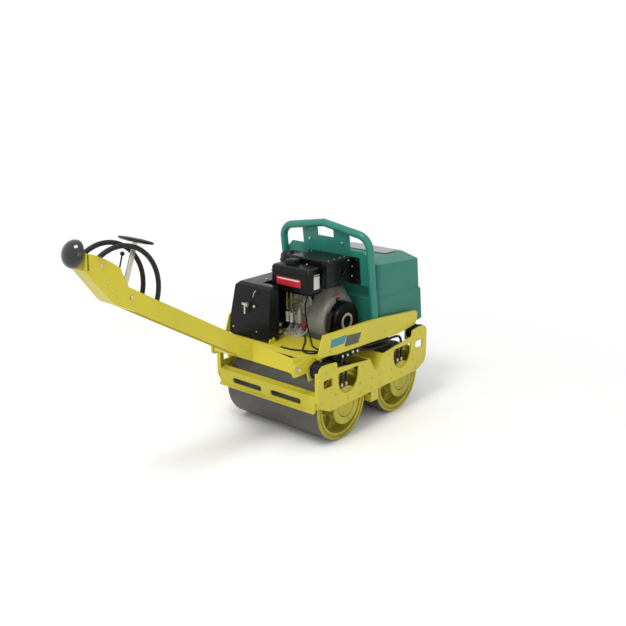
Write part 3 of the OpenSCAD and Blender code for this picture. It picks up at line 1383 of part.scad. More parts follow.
// The stub of a hose over a motor's port: end is -1 at the rear, side picks one of the two ports
function stub(end, side) = [for (rise = [0, hose_d*2.3])
    [end*axle_x + side*motor_port_x, hose_line_y, axle_z + port_top + seat_gap + rise]];
function reversed(p) = [for (i = [len(p) - 1:-1:0]) p[i]];
module hydraulic_hoses() {
  low = placed(block_share[0]);
  high = placed(block_share[1]);
  color("#1d1d1d") at_base() {
    both_y() {
      for (k = [0, 1]) {
        hose(concat(stub(-1, 2*k - 1), [for (q = hose_rear_share[k]) placed(q)]), hose_d, 4);
        hose(concat([for (q = hose_front_share[k]) placed(q)], reversed(stub(1, 2*k - 1))), hose_d, 4);
      }
      box(low, high);
      for (q = block_post_share) translate([low[0] + (high[0] - low[0])*q, (low[1] + high[1])/2, high[2]])
          cylinder(d = hose_d, h = deck_z - deck_t - seat_gap - high[2]);
    }
    hose([for (q = cable_share) placed(q)], cable_d, 4);
  }
}

// Drums

// Shell of a drum: a plain rolled tube, its ends left proud for the rim ring
rim_t = 7;
module drum_shell() {
  turned_y([[drum_d/2 - shell_t, rim_t - half_w], [drum_d/2, rim_t - half_w], [drum_d/2, half_w - rim_t],
      [drum_d/2 - shell_t, half_w - rim_t]]);
}
module rear_drum_shell() { color("#5a5955") at_base() translate([-axle_x, 0, axle_z]) drum_shell(); }
module front_drum_shell() { color("#5a5955") at_base() translate([axle_x, 0, axle_z]) drum_shell(); }

// Core of a drum: inner tube, two bearing hubs, dished end plates, rim rings and radial ribs
core_r = drum_d/2 - shell_t - seat_gap/2;
core_tube_t = 8;
rim_band = 26;
dish_r_share = 0.84;
rib_t = 9;
rib_rise = 30;
hub_wall = 26;
hub_in = 2;
hub_flare = 12;
hub_edge = 4;
rim_lip = 3;
rim_groove = 10;
rib_root = 6;
dish_step = 8;
module drum_core() {
  hub_r = bearing_d/2 + hub_wall;
  y_in = spindle_in - hub_in;
  y_web = web_y - web_t;
  y_band = half_w - rim_t*1.4;
  both_y() {
    turned_y([[bearing_d/2 + running_gap, y_in], [core_tube_d/2 - core_tube_t, y_in], [core_tube_d/2 - core_tube_t, 0],
        [core_tube_d/2, 0], [core_tube_d/2, y_in - hub_flare], [hub_r, y_in], [hub_r, y_web], [core_r*dish_r_share, y_web],
        [core_r*dish_r_share + web_t*1.6, y_band - web_t], [core_r, y_band - web_t], [core_r, half_w - rim_t + seat_gap/2],
        [drum_d/2 - seat_gap*2, half_w - rim_t + seat_gap/2], [drum_d/2 - rim_t/2, half_w], [core_r - rim_lip/2, half_w],
        [core_r - rim_lip, half_w - rim_t], [core_r - rim_groove, half_w - rim_t],
        [core_r - rim_groove - rim_lip/2, half_w - rim_lip/2], [core_r - rim_band, half_w - rim_lip],
        [core_r*dish_r_share - web_t*0.3, web_y + dish_step], [core_r*dish_r_share - web_t, web_y],
        [hub_r, web_y], [hub_r - hub_edge, hub_out], [bearing_d/2 + running_gap, hub_out]]);
    for (i = [0:rib_count - 1]) rotate([0, 360*(i + 0.5)/rib_count, 0])
        xz_rib_plate(hub_r - rib_root, core_r*dish_r_share - web_t*0.7, web_y - seat_gap*3, web_y + rib_rise, rib_t);
  }
}
// A rib that falls from the hub to the foot of the dish
module xz_rib_plate(r0, r1, y0, y1, t) {
  translate([0, 0, -t/2]) linear_extrude(height = t)
      polygon([[r0, y0], [r1, y0], [r1, y0 + (y1 - y0)*0.55], [r0 + (r1 - r0)*0.35, y1], [r0, hub_out - seat_gap*3]]);
}
module rear_drum_core() { color("#b7ab2e") at_base() translate([-axle_x, 0, axle_z]) drum_core(); }
module front_drum_core() { color("#b7ab2e") at_base() translate([axle_x, 0, axle_z]) drum_core(); }

// Exciter shaft with two half round weights
shaft_proud = 2;
shaft_half = cup_in + cup_wall + shaft_proud;
module exciter_shaft() {
  rod_y(exciter_d, -shaft_half, shaft_half);
  both_y() intersection() {
    rod_y(2*weight_r, weight_len*0.2, weight_len*1.2);
    box([-weight_r, 0, -weight_r - overrun], [weight_r, weight_len*2, exciter_d*0.1]);
  }
}
module rear_exciter_shaft() { color("#8d8f92") at_base() translate([-axle_x, 0, axle_z]) exciter_shaft(); }
module front_exciter_shaft() { color("#8d8f92") at_base() translate([axle_x, 0, axle_z]) exciter_shaft(); }

// Drawbar

function at_arm(u, v) = arm_fold + u*arm_dir + v*arm_down;
console_points = [for (q = console_share) arm_end + [-console_len*q[0], console_h*q[1]]];
leg_setback = 14;
leg_top = arm_fold[0] - leg_setback;
arm_front_top = [leg_top, arm_fold[1] + (arm_fold[0] - leg_top)*tan(arm_slope_deg)];
arm_front_low = arm_front_top - [0, arm_depth/cos(arm_slope_deg)];
arm_outline = concat([arm_front_top, arm_end], console_points, [at_arm(arm_len*0.94, arm_depth), arm_front_low]);
// The same outline moved inward by a wall, each corner mitred
function inset(p, t) = let (n = len(p)) [for (i = [0:n - 1])
    let (n0 = left_of(p[(i + n - 1)%n], p[i]), n1 = left_of(p[i], p[(i + 1)%n])) p[i] + t*(n0 + n1)/(1 + n0*n1)];
lever_pin_d = 14;
lever_ahead = 11.6;
lever_drop = 49.3;
lever_x = arm_end[0] + lever_ahead;
lever_z = arm_end[1] - lever_drop;
lever_t = 9;
lever_slot_back = 8;
lever_slot_front = 40;
nose_slot = 6;
nose_slot_w = 7;
switch_pin_d = 8;
switch_back = 8.4;
switch_drop = 28.3;
switch_x = arm_end[0] - switch_back;
switch_z = arm_end[1] - switch_drop;
switch_y = 24;
switch_slot = 10;
arm_tip_half = 45;
// Solid form of the arm and its console, which narrows towards the nose, inset by a wall
module arm_form(wall) {
  intersection() {
    xz_part(inset(arm_outline, wall), -arm_w/2, arm_w/2);
    xy_part([[arm_fold[0] + arm_depth, wall - arm_w/2], [arm_fold[0] + arm_depth, arm_w/2 - wall],
        [arm_end[0], arm_w/2 - wall], [console_low[0] - overrun, arm_tip_half - wall],
        [console_low[0] - overrun, wall - arm_tip_half], [arm_end[0], wall - arm_w/2]],
        arm_fold[1] - arm_depth*2, console_top[1] + overrun);
  }
}
module drawbar_arm() {
  color("#bdb241") at_base() difference() {
    arm_form(0);
    arm_form(arm_t);
    // the straight arm is open below and in front
    xz_part([at_arm(-arm_depth, arm_t), at_arm(arm_len*0.9, arm_t), at_arm(arm_len*0.9, arm_depth*1.2),
        at_arm(-arm_depth, arm_depth*1.2)], arm_t - arm_w/2, arm_w/2 - arm_t);
    // slots for the travel lever and the vibration lever
    box([lever_x - lever_slot_back, -lever_t, lever_z + lever_pin_d],
        [lever_x + lever_slot_front, lever_t, lever_z + lever_drop*1.4]);
    box([switch_x - switch_slot/2, switch_y - switch_slot*0.6, switch_z + switch_pin_d],
        [switch_x + switch_slot*2.8, switch_y + switch_slot*0.6, switch_z + switch_drop*2]);
    // slit that splits the nose from the console
    xz_part(moved([[0, nose_slot_w], [-nose_slot_w*0.5, -console_h*0.42], [nose_slot_w*0.5, -console_h*0.42],
        [nose_slot_w, nose_slot_w]], console_points[5][0] + nose_slot, console_points[5][1]), -arm_w, arm_w);
    translate([lever_x, 0, lever_z]) rod_y(lever_pin_d + 2*running_gap, -arm_w, arm_w);
    translate([switch_x, 0, switch_z]) rod_y(switch_pin_d + 2*running_gap, 0, arm_w);
    translate([button_base[0], 0, button_base[1]]) rotate([0, button_tilt_deg - 90, 0])
        translate([0, 0, -button_stand*2.4]) cylinder(d = button_stem_d + 2*running_gap, h = button_stand*2);
  }
}

// An outline of one half, from its outer corner, closed by the mirrored other half
function both_x_ends(p) = concat(p, [for (i = [len(p) - 1:-1:0]) [p[i][0], -p[i][1]]]);
// Fork: cross web, two diagonal legs and two pivot tabs, bent from one plate
fork_t = 10;
bend_back = 27;
bend_drop = 3;
tab_ahead = 20;
leg_edge = 5;
tab_high_share = 0.82;
tab_arc_r = 76;
leg_rise = 66;
leg_belly = 14;
tab_r = 32;
// Notch over the stop bolt in shares of that bolt's diameter, and the corner between it and the pivot
notch_share = [[-0.833, 0], [0.667, 0], [0.833, 1.5]];
belly_x = 22;
belly_z = 29;
fork_bend_x = pivot_x - bend_back;
tab_x = stop_x + tab_ahead;
leg_x = leg_top + fork_t + buffer_clear;
module drawbar_fork() {
  color("#d0c648") at_base() difference() {
    intersection() {
      // plan of the bent plate
      xy_part(both_x_ends([[leg_top, arm_w/2], [fork_bend_x, tab_out], [tab_x, tab_out], [tab_x, tab_in],
          [fork_bend_x + bend_drop, tab_in], [leg_x, arm_w/2 - leg_edge]]), 0, arm_end[1]);
      // side view of the legs and tabs
      xz_part(concat([arm_front_low, arm_front_top, [fork_bend_x, pivot_z + leg_rise]],
          arc(pivot_x, pivot_z, tab_arc_r*tab_high_share, 88, 46, 5),
          arc(pivot_x, pivot_z, tab_arc_r, 24, -9, 5),
          [for (q = notch_share) [stop_x + stop_d*q[0], stop_z - stop_d/2 - seat_gap - stop_d*q[1]]],
          [[pivot_x + belly_x, pivot_z - belly_z]],
          arc(pivot_x, pivot_z, tab_r, -70, -150, 8), [[fork_bend_x, pivot_z - leg_belly]]),
          -tab_out - overrun, tab_out + overrun);
    }
    translate([pivot_x, 0, pivot_z]) both_y() rod_y(pivot_d + 2*running_gap, tab_in - overrun, tab_out + overrun);
  }
}

// Two hand rings: arcs of tube that stand on the arm and on the top of the console
ring_back = 31.4;
ring_drop = 19.3;
ring_x = arm_end[0] - ring_back;
ring_z = arm_end[1] - ring_drop;
ring_a0 = -24;
ring_a1 = 123;
module hand_rings() {
  color("#1e1e1e") at_base() difference() {
    both_y() translate([ring_x, ring_y, ring_z]) rotate([90, 0, 0])
        rotate([0, 0, ring_a0]) rotate_extrude(angle = ring_a1 - ring_a0) translate([ring_r, 0]) circle(d = ring_d);
    // the ends are cut to the faces that they stand on
    xz_part(concat([at_arm(0, -seat_gap), at_arm(arm_len, -seat_gap)],
        [for (i = [0:5]) console_points[i] + [0, seat_gap]], [console_low, [console_low[0], arm_fold[1]]]), -arm_w, arm_w);
  }
}

// Travel lever: flat bar with its pin through the console's sides
lever_tilt_deg = 20.8;
lever_bar_w = 24;
lever_bar_t = 6;
pin_proud = 4;
lever_gap = 1;
module travel_lever() {
  color("#b9b6a8") at_base() translate([lever_x, 0, lever_z]) {
    rod_y(lever_pin_d, -arm_w/2 - pin_proud, arm_w/2 + pin_proud);
    rotate([0, lever_tilt_deg, 0]) {
      rod_y(lever_pin_d*1.8, lever_gap - lever_t, lever_t - lever_gap);
      box([-lever_bar_w/2, -lever_bar_t/2, 0], [lever_bar_w/2, lever_bar_t/2, lever_len - seat_gap]);
    }
  }
}

// Grip of the travel lever: a wide, thin hand piece, deepest in the middle.
// Sections along its width: shares of the half width, the depth and the thickness
grip_share = [[-1, 0.2, 0.3], [-0.96, 0.42, 0.6], [-0.75, 0.66, 0.8], [-0.4, 0.92, 1], [0, 1, 1], [0.4, 0.92, 1],
    [0.75, 0.66, 0.8], [0.96, 0.42, 0.6], [1, 0.2, 0.3]];
grip_depth = 56;
grip_t = 20;
grip_sides = 16;
module lever_grip() {
  color("#1b1b1b") at_base() translate([lever_x, 0, lever_z]) rotate([0, lever_tilt_deg, 0])
      translate([0, 0, lever_len + grip_t/2]) rotate([-90, 0, 0])
      loft([for (s = grip_share) [for (i = [0:grip_sides - 1]) let (a = 360*i/grip_sides)
          [grip_depth/2*s[1]*cos(a), grip_t/2*s[2]*sin(a)*(1 - 0.25*cos(a)*cos(a)), grip_w/2*s[0]]]]);
}

// Small lever at the console that switches the vibration
switch_tilt_deg = 18;
switch_len = 162;
switch_knob_d = 20;
switch_boss_w = 12;
module vibration_lever() {
  color("#2a2a2a") at_base() translate([switch_x, 0, switch_z]) {
    rod_y(switch_pin_d, switch_y - switch_pin_d, arm_w/2 + pin_proud);
    rotate([0, switch_tilt_deg, 0]) {
      translate([0, switch_y, 0]) {
        cylinder(d = switch_pin_d*0.88, h = switch_len);
        translate([0, 0, switch_len]) sphere(d = switch_knob_d);
      }
      rod_y(switch_pin_d*1.8, switch_y - switch_boss_w/2, switch_y + switch_boss_w/2);
    }
  }
}

// Mushroom safety button on its stem
dome_steps = 12;
module stop_button() {
  color("#161616") at_base() translate([button_base[0], 0, button_base[1]]) rotate([0, button_tilt_deg - 90, 0]) {
    rotate_extrude() polygon(concat([[0, 0]], [for (i = [0:dome_steps]) let (a = 90*i/dome_steps)
        [button_d/2*cos(a), button_h*sin(a)]]));
    translate([0, 0, -button_stand - arm_t*3]) cylinder(d = button_stem_d, h = button_stand + arm_t*3 + overrun);
  }
}

right_side_plate();
left_side_plate();
rear_cross_plate();
front_cross_plate();
centre_channel();
scraper_beam();
scraper_blades();
axle_carriers();
drum_bearings();
travel_motors();
vibration_motors();
rubber_buffers();
frame_bolts();
engine_deck();
tank_cradle();
right_rail();
left_rail();
buffer_brackets();
pivot_bolts();
hoop_tube();
hoop_plate();
water_tank();
tank_lid();
tank_cap();
sprinkler_pipes();
crankcase();
engine_cylinder();
cylinder_head();
fan_housing();
recoil_cover();
starter_grip();
flywheel_fan();
crankshaft();
hydraulic_pump();
injection_pump();
fuel_filter();
oil_cap();
throttle_lever();
fuel_tank();
fuel_cap();
silencer_box();
silencer_flange();
air_cleaner();
pump_cover();
cover_latch();
oil_tank();
hydraulic_hoses();
rear_drum_shell();
rear_drum_core();
front_drum_shell();
front_drum_core();
rear_exciter_shaft();
front_exciter_shaft();
drawbar_arm();
drawbar_fork();
hand_rings();
travel_lever();
lever_grip();
vibration_lever();
stop_button();
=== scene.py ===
# %% [markdown]
# # A walk behind vibratory roller, dressed for a studio picture
#
# The shapes of this machine come from its CAD model. This lesson gives them paint, rubber, cast metal
# and steel, and adds the small pieces that a CAD model leaves out: plain foils, pipes, fittings, weld
# beads and screws. Each step says what the real thing is, how it could be made, and why one way was chosen.

# %% The frame and the tools
import math

import bpy
from mathutils import Matrix, Vector


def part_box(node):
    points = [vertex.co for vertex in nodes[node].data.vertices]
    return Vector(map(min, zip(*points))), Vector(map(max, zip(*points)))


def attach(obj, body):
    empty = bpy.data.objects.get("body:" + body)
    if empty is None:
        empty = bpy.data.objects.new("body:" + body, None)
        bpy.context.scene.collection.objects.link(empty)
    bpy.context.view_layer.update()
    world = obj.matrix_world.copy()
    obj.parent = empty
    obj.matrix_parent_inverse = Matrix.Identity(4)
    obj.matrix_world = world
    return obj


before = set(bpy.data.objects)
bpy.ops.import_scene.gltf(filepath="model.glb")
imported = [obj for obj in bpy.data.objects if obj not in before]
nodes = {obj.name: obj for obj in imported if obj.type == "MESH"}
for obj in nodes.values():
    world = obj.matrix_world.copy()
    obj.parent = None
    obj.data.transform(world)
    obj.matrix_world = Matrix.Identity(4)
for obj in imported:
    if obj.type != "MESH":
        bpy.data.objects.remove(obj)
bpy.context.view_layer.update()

# %% [markdown]
# ## Places in millimetres
#
# A mechanic measures this machine from the ground point midway between its two drums. The model's own
# origin lies further back, because the drawbar counts in its length. One function turns a mechanic's
# millimetres into the model's metres. It reads where the drums are, so it stays right if the model moves.
# X points ahead, Y to the left and Z up.

# %% From millimetres to the model's frame
MM_IN_M = 1000
AHEAD, BACK, LEFT, RIGHT, UP = (1, 0, 0), (-1, 0, 0), (0, 1, 0), (0, -1, 0), (0, 0, 1)


def middle_of(node):
    low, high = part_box(node)
    return (Vector(low) + Vector(high)) / 2


drums_middle = (middle_of("rear_drum_shell").x + middle_of("front_drum_shell").x) / 2


def at(x, y, z):
    return Vector((x / MM_IN_M + drums_middle, y / MM_IN_M, z / MM_IN_M))


def box_mm(node):
    return [((corner[0] - drums_middle) * MM_IN_M, corner[1] * MM_IN_M, corner[2] * MM_IN_M)
            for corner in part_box(node)]


print("middle of the drums at x =", round(drums_middle, 4))

# %% [markdown]
# ## The camera
#
# The photograph was taken from behind and to the right of the operator, a little above the machine.
# The rims of the two drums are ellipses in the picture, and they give the place of the camera. A lens of
# about 50 mm was found, so the far drum is only slightly smaller than the near one.

# %% Camera at the photograph's place
photo_px, focal_px, sensor_mm = 626, 884.09, 36
eye = at(-3670.8, -2977.7, 1981.0)
look = Vector((0.7360, 0.6143, -0.2847)).normalized()
side = Vector((0.6408, -0.7678, 0.0)).normalized()
rise = side.cross(look)
lens_data = bpy.data.cameras.new("studio_camera")
lens_data.lens = focal_px / photo_px * sensor_mm
lens_data.sensor_width = sensor_mm
lens_data.clip_end = 100
camera = bpy.data.objects.new("studio_camera", lens_data)
bpy.context.scene.collection.objects.link(camera)
camera.matrix_world = Matrix.Translation(eye) @ Matrix((
    (side.x, rise.x, -look.x), (side.y, rise.y, -look.y), (side.z, rise.z, -look.z))).to_4x4()
bpy.context.scene.camera = camera
bpy.context.scene.view_settings.view_transform = "Standard"
print("lens", round(lens_data.lens, 2), "mm")

# %% [markdown]
# ## Colour and nodes
#
# A colour picked on a screen is coded in sRGB, and the renderer works with linear light. One function
# converts it. A second function adds a shader node, sets what it needs and links its inputs. An input is
# given by its name, or by its number after an i where several inputs share a name. Every noise is given
# by the size of its pattern in millimetres.

# %% Two small helpers
def linear(code):
    """The sRGB curve, undone for each of the three parts of a colour code."""
    parts = [int(code[i:i + 2], 16) / 255 for i in (1, 3, 5)]
    return tuple(c / 12.92 if c <= 0.04045 else ((c + 0.055) / 1.055) ** 2.4 for c in parts) + (1.0,)


def add(tree, kind, settings=None, **inputs):
    node = tree.nodes.new(kind)
    for key, value in (settings or {}).items():
        setattr(node, key, value)
    for key, value in inputs.items():
        socket = node.inputs[int(key[1:])] if key[1:].isdigit() else node.inputs[key.replace("_", " ")]
        if isinstance(value, bpy.types.NodeSocket):
            tree.links.new(value, socket)
        else:
            socket.default_value = value
    return node


def per_metre(size_mm):
    """How often a pattern of this size repeats in a metre, which is what a scale socket asks for."""
    return MM_IN_M / size_mm


frame_yellow = "#c3b72e"
print("yellow in linear light:", [round(c, 3) for c in linear(frame_yellow)])

# %% [markdown]
# ## One recipe for painted, moulded and cast surfaces
#
# Most surfaces here are one colour that isn't quite even. Paint has a fine orange peel and fades in broad
# patches, a moulding has a leather grain, and a casting has a sandy skin. All of them gather dust low
# down and in the patches of a second, larger noise. The recipe has the base colour and its dusty shade,
# the size of patches and grain in millimetres, the depth of the grain, and the gloss. It could be an
# image, but noise in the object's own space needs no unwrapping and keeps its size on every piece.
# Sharp folds catch light in a real picture, so the recipe rounds the shading of edges by a small radius.
#
# The numbers stand in this order: the base colour, its dusty shade, the sizes of patches and grain and the
# depth of the grain in millimetres, the roughness and how far it varies.

# %% The recipe
dust_from, dust_to = 0.42, 0.72
ground_m, clean_m = 0.05, 0.55
noise_low, noise_high = 0.3, 0.7
coat_rough, grain_strength = 0.15, 0.6


def surface(name, tone, dusty, patch_mm, grain_mm, grain_depth_mm, rough, rough_spread=0.1,
            metallic=0.0, shine=0.5, coat=0.0, dust=0.5, edge_mm=0.0, low_dust=0.0):
    material = bpy.data.materials.new(name)
    material.use_nodes = True
    tree = material.node_tree
    tree.nodes.clear()
    place = add(tree, "ShaderNodeTexCoord").outputs["Object"]
    patches = add(tree, "ShaderNodeTexNoise", Vector=place, Scale=per_metre(patch_mm), Detail=6.0,
                  Roughness=0.6)
    cloud = add(tree, "ShaderNodeMapRange", Value=patches.outputs["Fac"], From_Min=dust_from,
                From_Max=dust_to, To_Min=0.0, To_Max=dust)
    height = add(tree, "ShaderNodeSeparateXYZ", Vector=place).outputs["Z"]
    low = add(tree, "ShaderNodeMapRange", Value=height, From_Min=ground_m, From_Max=clean_m,
              To_Min=low_dust, To_Max=0.0)
    shade = add(tree, "ShaderNodeMath", {"operation": "ADD", "use_clamp": True},
                i0=cloud.outputs["Result"], i1=low.outputs["Result"])
    colour = add(tree, "ShaderNodeMix", {"data_type": "RGBA"}, i0=shade.outputs["Value"],
                 i6=linear(tone), i7=linear(dusty))
    grain = add(tree, "ShaderNodeTexNoise", Vector=place, Scale=per_metre(grain_mm), Detail=3.0)
    gloss = add(tree, "ShaderNodeMapRange", Value=patches.outputs["Fac"], From_Min=noise_low,
                From_Max=noise_high, To_Min=max(rough - rough_spread, 0.02),
                To_Max=min(rough + rough_spread, 1.0))
    relief = add(tree, "ShaderNodeBump", Strength=grain_strength, Distance=grain_depth_mm / MM_IN_M,
                 Height=grain.outputs["Fac"])
    if edge_mm:
        rounded = add(tree, "ShaderNodeBevel", {"samples": 4}, Radius=edge_mm / MM_IN_M)
        tree.links.new(rounded.outputs["Normal"], relief.inputs["Normal"])
    skin = add(tree, "ShaderNodeBsdfPrincipled", Base_Color=colour.outputs[2], Metallic=metallic,
               Roughness=gloss.outputs["Result"], Coat_Weight=coat, Normal=relief.outputs["Normal"])
    skin.inputs["Coat Roughness"].default_value = coat_rough
    skin.inputs["Specular IOR Level"].default_value = shine
    add(tree, "ShaderNodeOutputMaterial", Surface=skin.outputs["BSDF"])
    return material


print("the recipe takes its dust between noise levels", dust_from, "and", dust_to)

# %% [markdown]
# ## Painted steel
#
# The frames, rails and drawbar are folded steel with a greenish yellow polyester paint, sprayed and
# baked. It is half glossy, with an orange peel of about 3 mm. Near the ground it is dustier, so the drum
# ends have a second yellow. The hoop has the same paint in green. The black covers have a fine textured
# paint that hides finger marks, and the engine's fan housing is grey.

# %% Paints
yellow_paint = surface("polyester_paint_yellow", frame_yellow, "#a69b30", 320, 3, 0.05, 0.34, 0.08,
                       shine=0.3, coat=0.08, dust=0.35, edge_mm=1.6, low_dust=0.1)
drum_paint = surface("polyester_paint_yellow_dusty", "#b1a72a", "#877e30", 140, 2.5, 0.1, 0.5, 0.12,
                     shine=0.3, dust=0.6, edge_mm=1.5, low_dust=0.25)
green_paint = surface("polyester_paint_green", "#287a6b", "#256256", 240, 3, 0.05, 0.3, 0.08,
                      shine=0.3, coat=0.08, dust=0.4, edge_mm=1.2)
black_paint = surface("textured_paint_black", "#0b0c0d", "#161615", 160, 1.6, 0.08, 0.3, 0.07, shine=0.2,
                      dust=0.45, edge_mm=3.0)
cowl_paint = surface("engine_paint_grey", "#83837c", "#6a6a63", 90, 2.2, 0.08, 0.42, 0.1, shine=0.35,
                     dust=0.45, edge_mm=1.5)
print("paints:", [m.name for m in (yellow_paint, drum_paint, green_paint, black_paint, cowl_paint)])

# %% [markdown]
# ## Plastics and rubber
#
# The water tank is rotationally moulded polyethylene: thick, waxy and slightly uneven, with a fine
# stipple. The panel on it is grey ABS. Grips, caps and the safety button are black ABS, the button with a
# polished skin. The fuel filters are undyed polyethylene and the oil cap is red ABS. Hoses, buffers,
# scraper blades and hand rings are rubber, which is dull and a little grey with dust.

# %% Plastics and rubber
green_polyethylene = surface("polyethylene_moulded_green", "#2a7565", "#276152", 300, 2.4, 0.14, 0.42,
                             0.08, shine=0.2, dust=0.45, edge_mm=4.0)
grey_abs = surface("abs_moulded_grey", "#9d999e", "#87848a", 120, 1.4, 0.1, 0.5, 0.06, dust=0.4,
                   edge_mm=1.5)
black_abs = surface("abs_moulded_black", "#101011", "#1c1c1d", 60, 1.2, 0.1, 0.4, 0.08, shine=0.25, dust=0.4,
                    edge_mm=1.0)
gloss_abs = surface("abs_polished_black", "#111113", "#18181a", 120, 20, 0.02, 0.14, 0.05, coat=0.4, dust=0.3)
white_polyethylene = surface("polyethylene_natural", "#dcdcd4", "#c4c2b4", 30, 1.5, 0.05, 0.4, 0.06,
                             dust=0.5)
red_abs = surface("abs_moulded_red", "#b3203a", "#8f1c30", 20, 1.2, 0.05, 0.38, 0.06, dust=0.4,
                  edge_mm=0.8)
rubber = surface("rubber_moulded_black", "#141414", "#262626", 70, 1.0, 0.12, 0.58, 0.1, shine=0.3, dust=0.5,
                 edge_mm=1.0)
print("plastics and rubber ready")

# %% [markdown]
# ## Metals
#
# The crankcase is a grey iron casting with a sandy skin of about 1.5 mm. Head and injection pump are cast
# aluminium, paler and smoother. Screws, pivot bolts, the latch and the travel lever are zinc plated, which
# gives small warm glints. Shafts and bearings are ground steel, which is the smoothest of them.

# %% Cast and plated metals
cast_iron = surface("cast_iron_sand_cast", "#9a9b93", "#6c6d65", 40, 1.5, 0.3, 0.5, 0.12, metallic=0.3,
                    dust=0.7, edge_mm=1.2)
cast_aluminium = surface("aluminium_die_cast", "#bcbdb6", "#8f9088", 30, 1.2, 0.15, 0.4, 0.1, metallic=0.35,
                         dust=0.6, edge_mm=1.0)
zinc_plate = surface("steel_zinc_plated", "#c9c6b6", "#a8a48f", 18, 1.0, 0.04, 0.3, 0.08, metallic=0.95,
                     dust=0.5, edge_mm=0.6)
ground_steel = surface("steel_ground", "#b9babb", "#9c9d9f", 40, 1.0, 0.03, 0.25, 0.06, metallic=1.0,
                       dust=0.4)
print("metals ready")

# %% [markdown]
# ## The rolled steel of the drums
#
# The drum shells are rolled plate, turned on a lathe and then polished and scratched by gravel. Their
# marks run round the drum, so they show as fine lines at right angles to the axle. The noise is
# squeezed along the axle, which is Y, to a pattern of 2 mm, and stretched to 240 mm along X and Z. On the
# round shell that draws rings. Real marks are finer than a millimetre, and they are drawn this coarse to
# show in the picture. A second noise adds darker stains.

# %% Drum steel
drum_steel = bpy.data.materials.new("steel_rolled_worn")
drum_steel.use_nodes = True
tree = drum_steel.node_tree
tree.nodes.clear()
place = add(tree, "ShaderNodeTexCoord").outputs["Object"]
ring_mm, stain_mm, scratch_depth_mm = 120, 90, 0.2
squeezed = add(tree, "ShaderNodeMapping", Vector=place, Scale=(0.5, 60.0, 0.5))
rings = add(tree, "ShaderNodeTexNoise", Vector=squeezed.outputs["Vector"], Scale=per_metre(ring_mm),
            Detail=4.0)
stains = add(tree, "ShaderNodeTexNoise", Vector=place, Scale=per_metre(stain_mm), Detail=5.0,
             Roughness=0.65)
stain = add(tree, "ShaderNodeMapRange", Value=stains.outputs["Fac"], From_Min=0.45, From_Max=0.7,
            To_Min=0.0, To_Max=0.6)
worn = add(tree, "ShaderNodeMix", {"data_type": "RGBA"}, i0=rings.outputs["Fac"],
           i6=linear("#4c4b49"), i7=linear("#65635f"))
tinted = add(tree, "ShaderNodeMix", {"data_type": "RGBA"}, i0=stain.outputs["Result"],
             i6=worn.outputs[2], i7=linear("#4d4a45"))
gloss = add(tree, "ShaderNodeMapRange", Value=rings.outputs["Fac"], From_Min=noise_low,
            From_Max=noise_high, To_Min=0.38, To_Max=0.58)
relief = add(tree, "ShaderNodeBump", Strength=0.4, Distance=scratch_depth_mm / MM_IN_M,
             Height=rings.outputs["Fac"])
skin = add(tree, "ShaderNodeBsdfPrincipled", Base_Color=tinted.outputs[2], Metallic=0.6,
           Roughness=gloss.outputs["Result"], Normal=relief.outputs["Normal"])
add(tree, "ShaderNodeOutputMaterial", Surface=skin.outputs["BSDF"])
print("drum steel ready")

# %% [markdown]
# ## Which piece gets which finish
#
# The CAD pieces keep their shapes. Each one only gets a finish in its material slots.

# %% Finishes of the CAD pieces
finishes = {
    yellow_paint: "right_side_plate left_side_plate rear_cross_plate front_cross_plate centre_channel "
                  "scraper_beam engine_deck tank_cradle right_rail left_rail buffer_brackets drawbar_arm "
                  "drawbar_fork frame_bolts",
    drum_paint: "axle_carriers travel_motors vibration_motors rear_drum_core front_drum_core",
    green_paint: "hoop_tube hoop_plate",
    black_paint: "recoil_cover fuel_tank silencer_box silencer_flange pump_cover oil_tank",
    cowl_paint: "fan_housing",
    green_polyethylene: "water_tank",
    grey_abs: "tank_lid",
    black_abs: "tank_cap fuel_cap air_cleaner sprinkler_pipes lever_grip vibration_lever",
    gloss_abs: "stop_button",
    white_polyethylene: "fuel_filter",
    red_abs: "oil_cap",
    rubber: "scraper_blades rubber_buffers hydraulic_hoses hand_rings starter_grip",
    cast_iron: "crankcase engine_cylinder flywheel_fan hydraulic_pump",
    cast_aluminium: "cylinder_head injection_pump",
    zinc_plate: "pivot_bolts cover_latch travel_lever throttle_lever",
    ground_steel: "drum_bearings crankshaft rear_exciter_shaft front_exciter_shaft",
    drum_steel: "rear_drum_shell front_drum_shell",
}
dressed = 0
for finish, names in finishes.items():
    for name in names.split():
        for material_slot in nodes[name].material_slots:
            material_slot.material = finish
        dressed += 1
print("dressed nodes:", dressed, "of", len(nodes))

# %% [markdown]
# ## Building small pieces
#
# A small piece is a list of points and faces. Three shapes make them all: a profile turned about an axis,
# a round section swept along a line, and an outline with a thickness and eased edges. Each of them is a
# row of rings of points, so one function makes the faces. They could be ready made solids, but a turned
# profile gives a bolt its chamfer and a fitting its steps.

# %% Turned shapes
least_radius = 0.01


def axes_for(direction):
    d = Vector(direction).normalized()
    u = d.orthogonal().normalized()
    return d, u, d.cross(u)


def ring_faces(rings, sides):
    """The faces between rings of points that follow each other, and a face over each end."""
    faces = []
    for k in range(rings - 1):
        for i in range(sides):
            j = (i + 1) % sides
            faces.append((k * sides + i, k * sides + j, (k + 1) * sides + j, (k + 1) * sides + i))
    faces.append(tuple(range(sides - 1, -1, -1)))
    faces.append(tuple((rings - 1) * sides + i for i in range(sides)))
    return faces


def without_ends(shape):
    """A shape whose first and last ring are left open."""
    points, faces = shape
    return points, [face for face in faces if len(face) == 4]


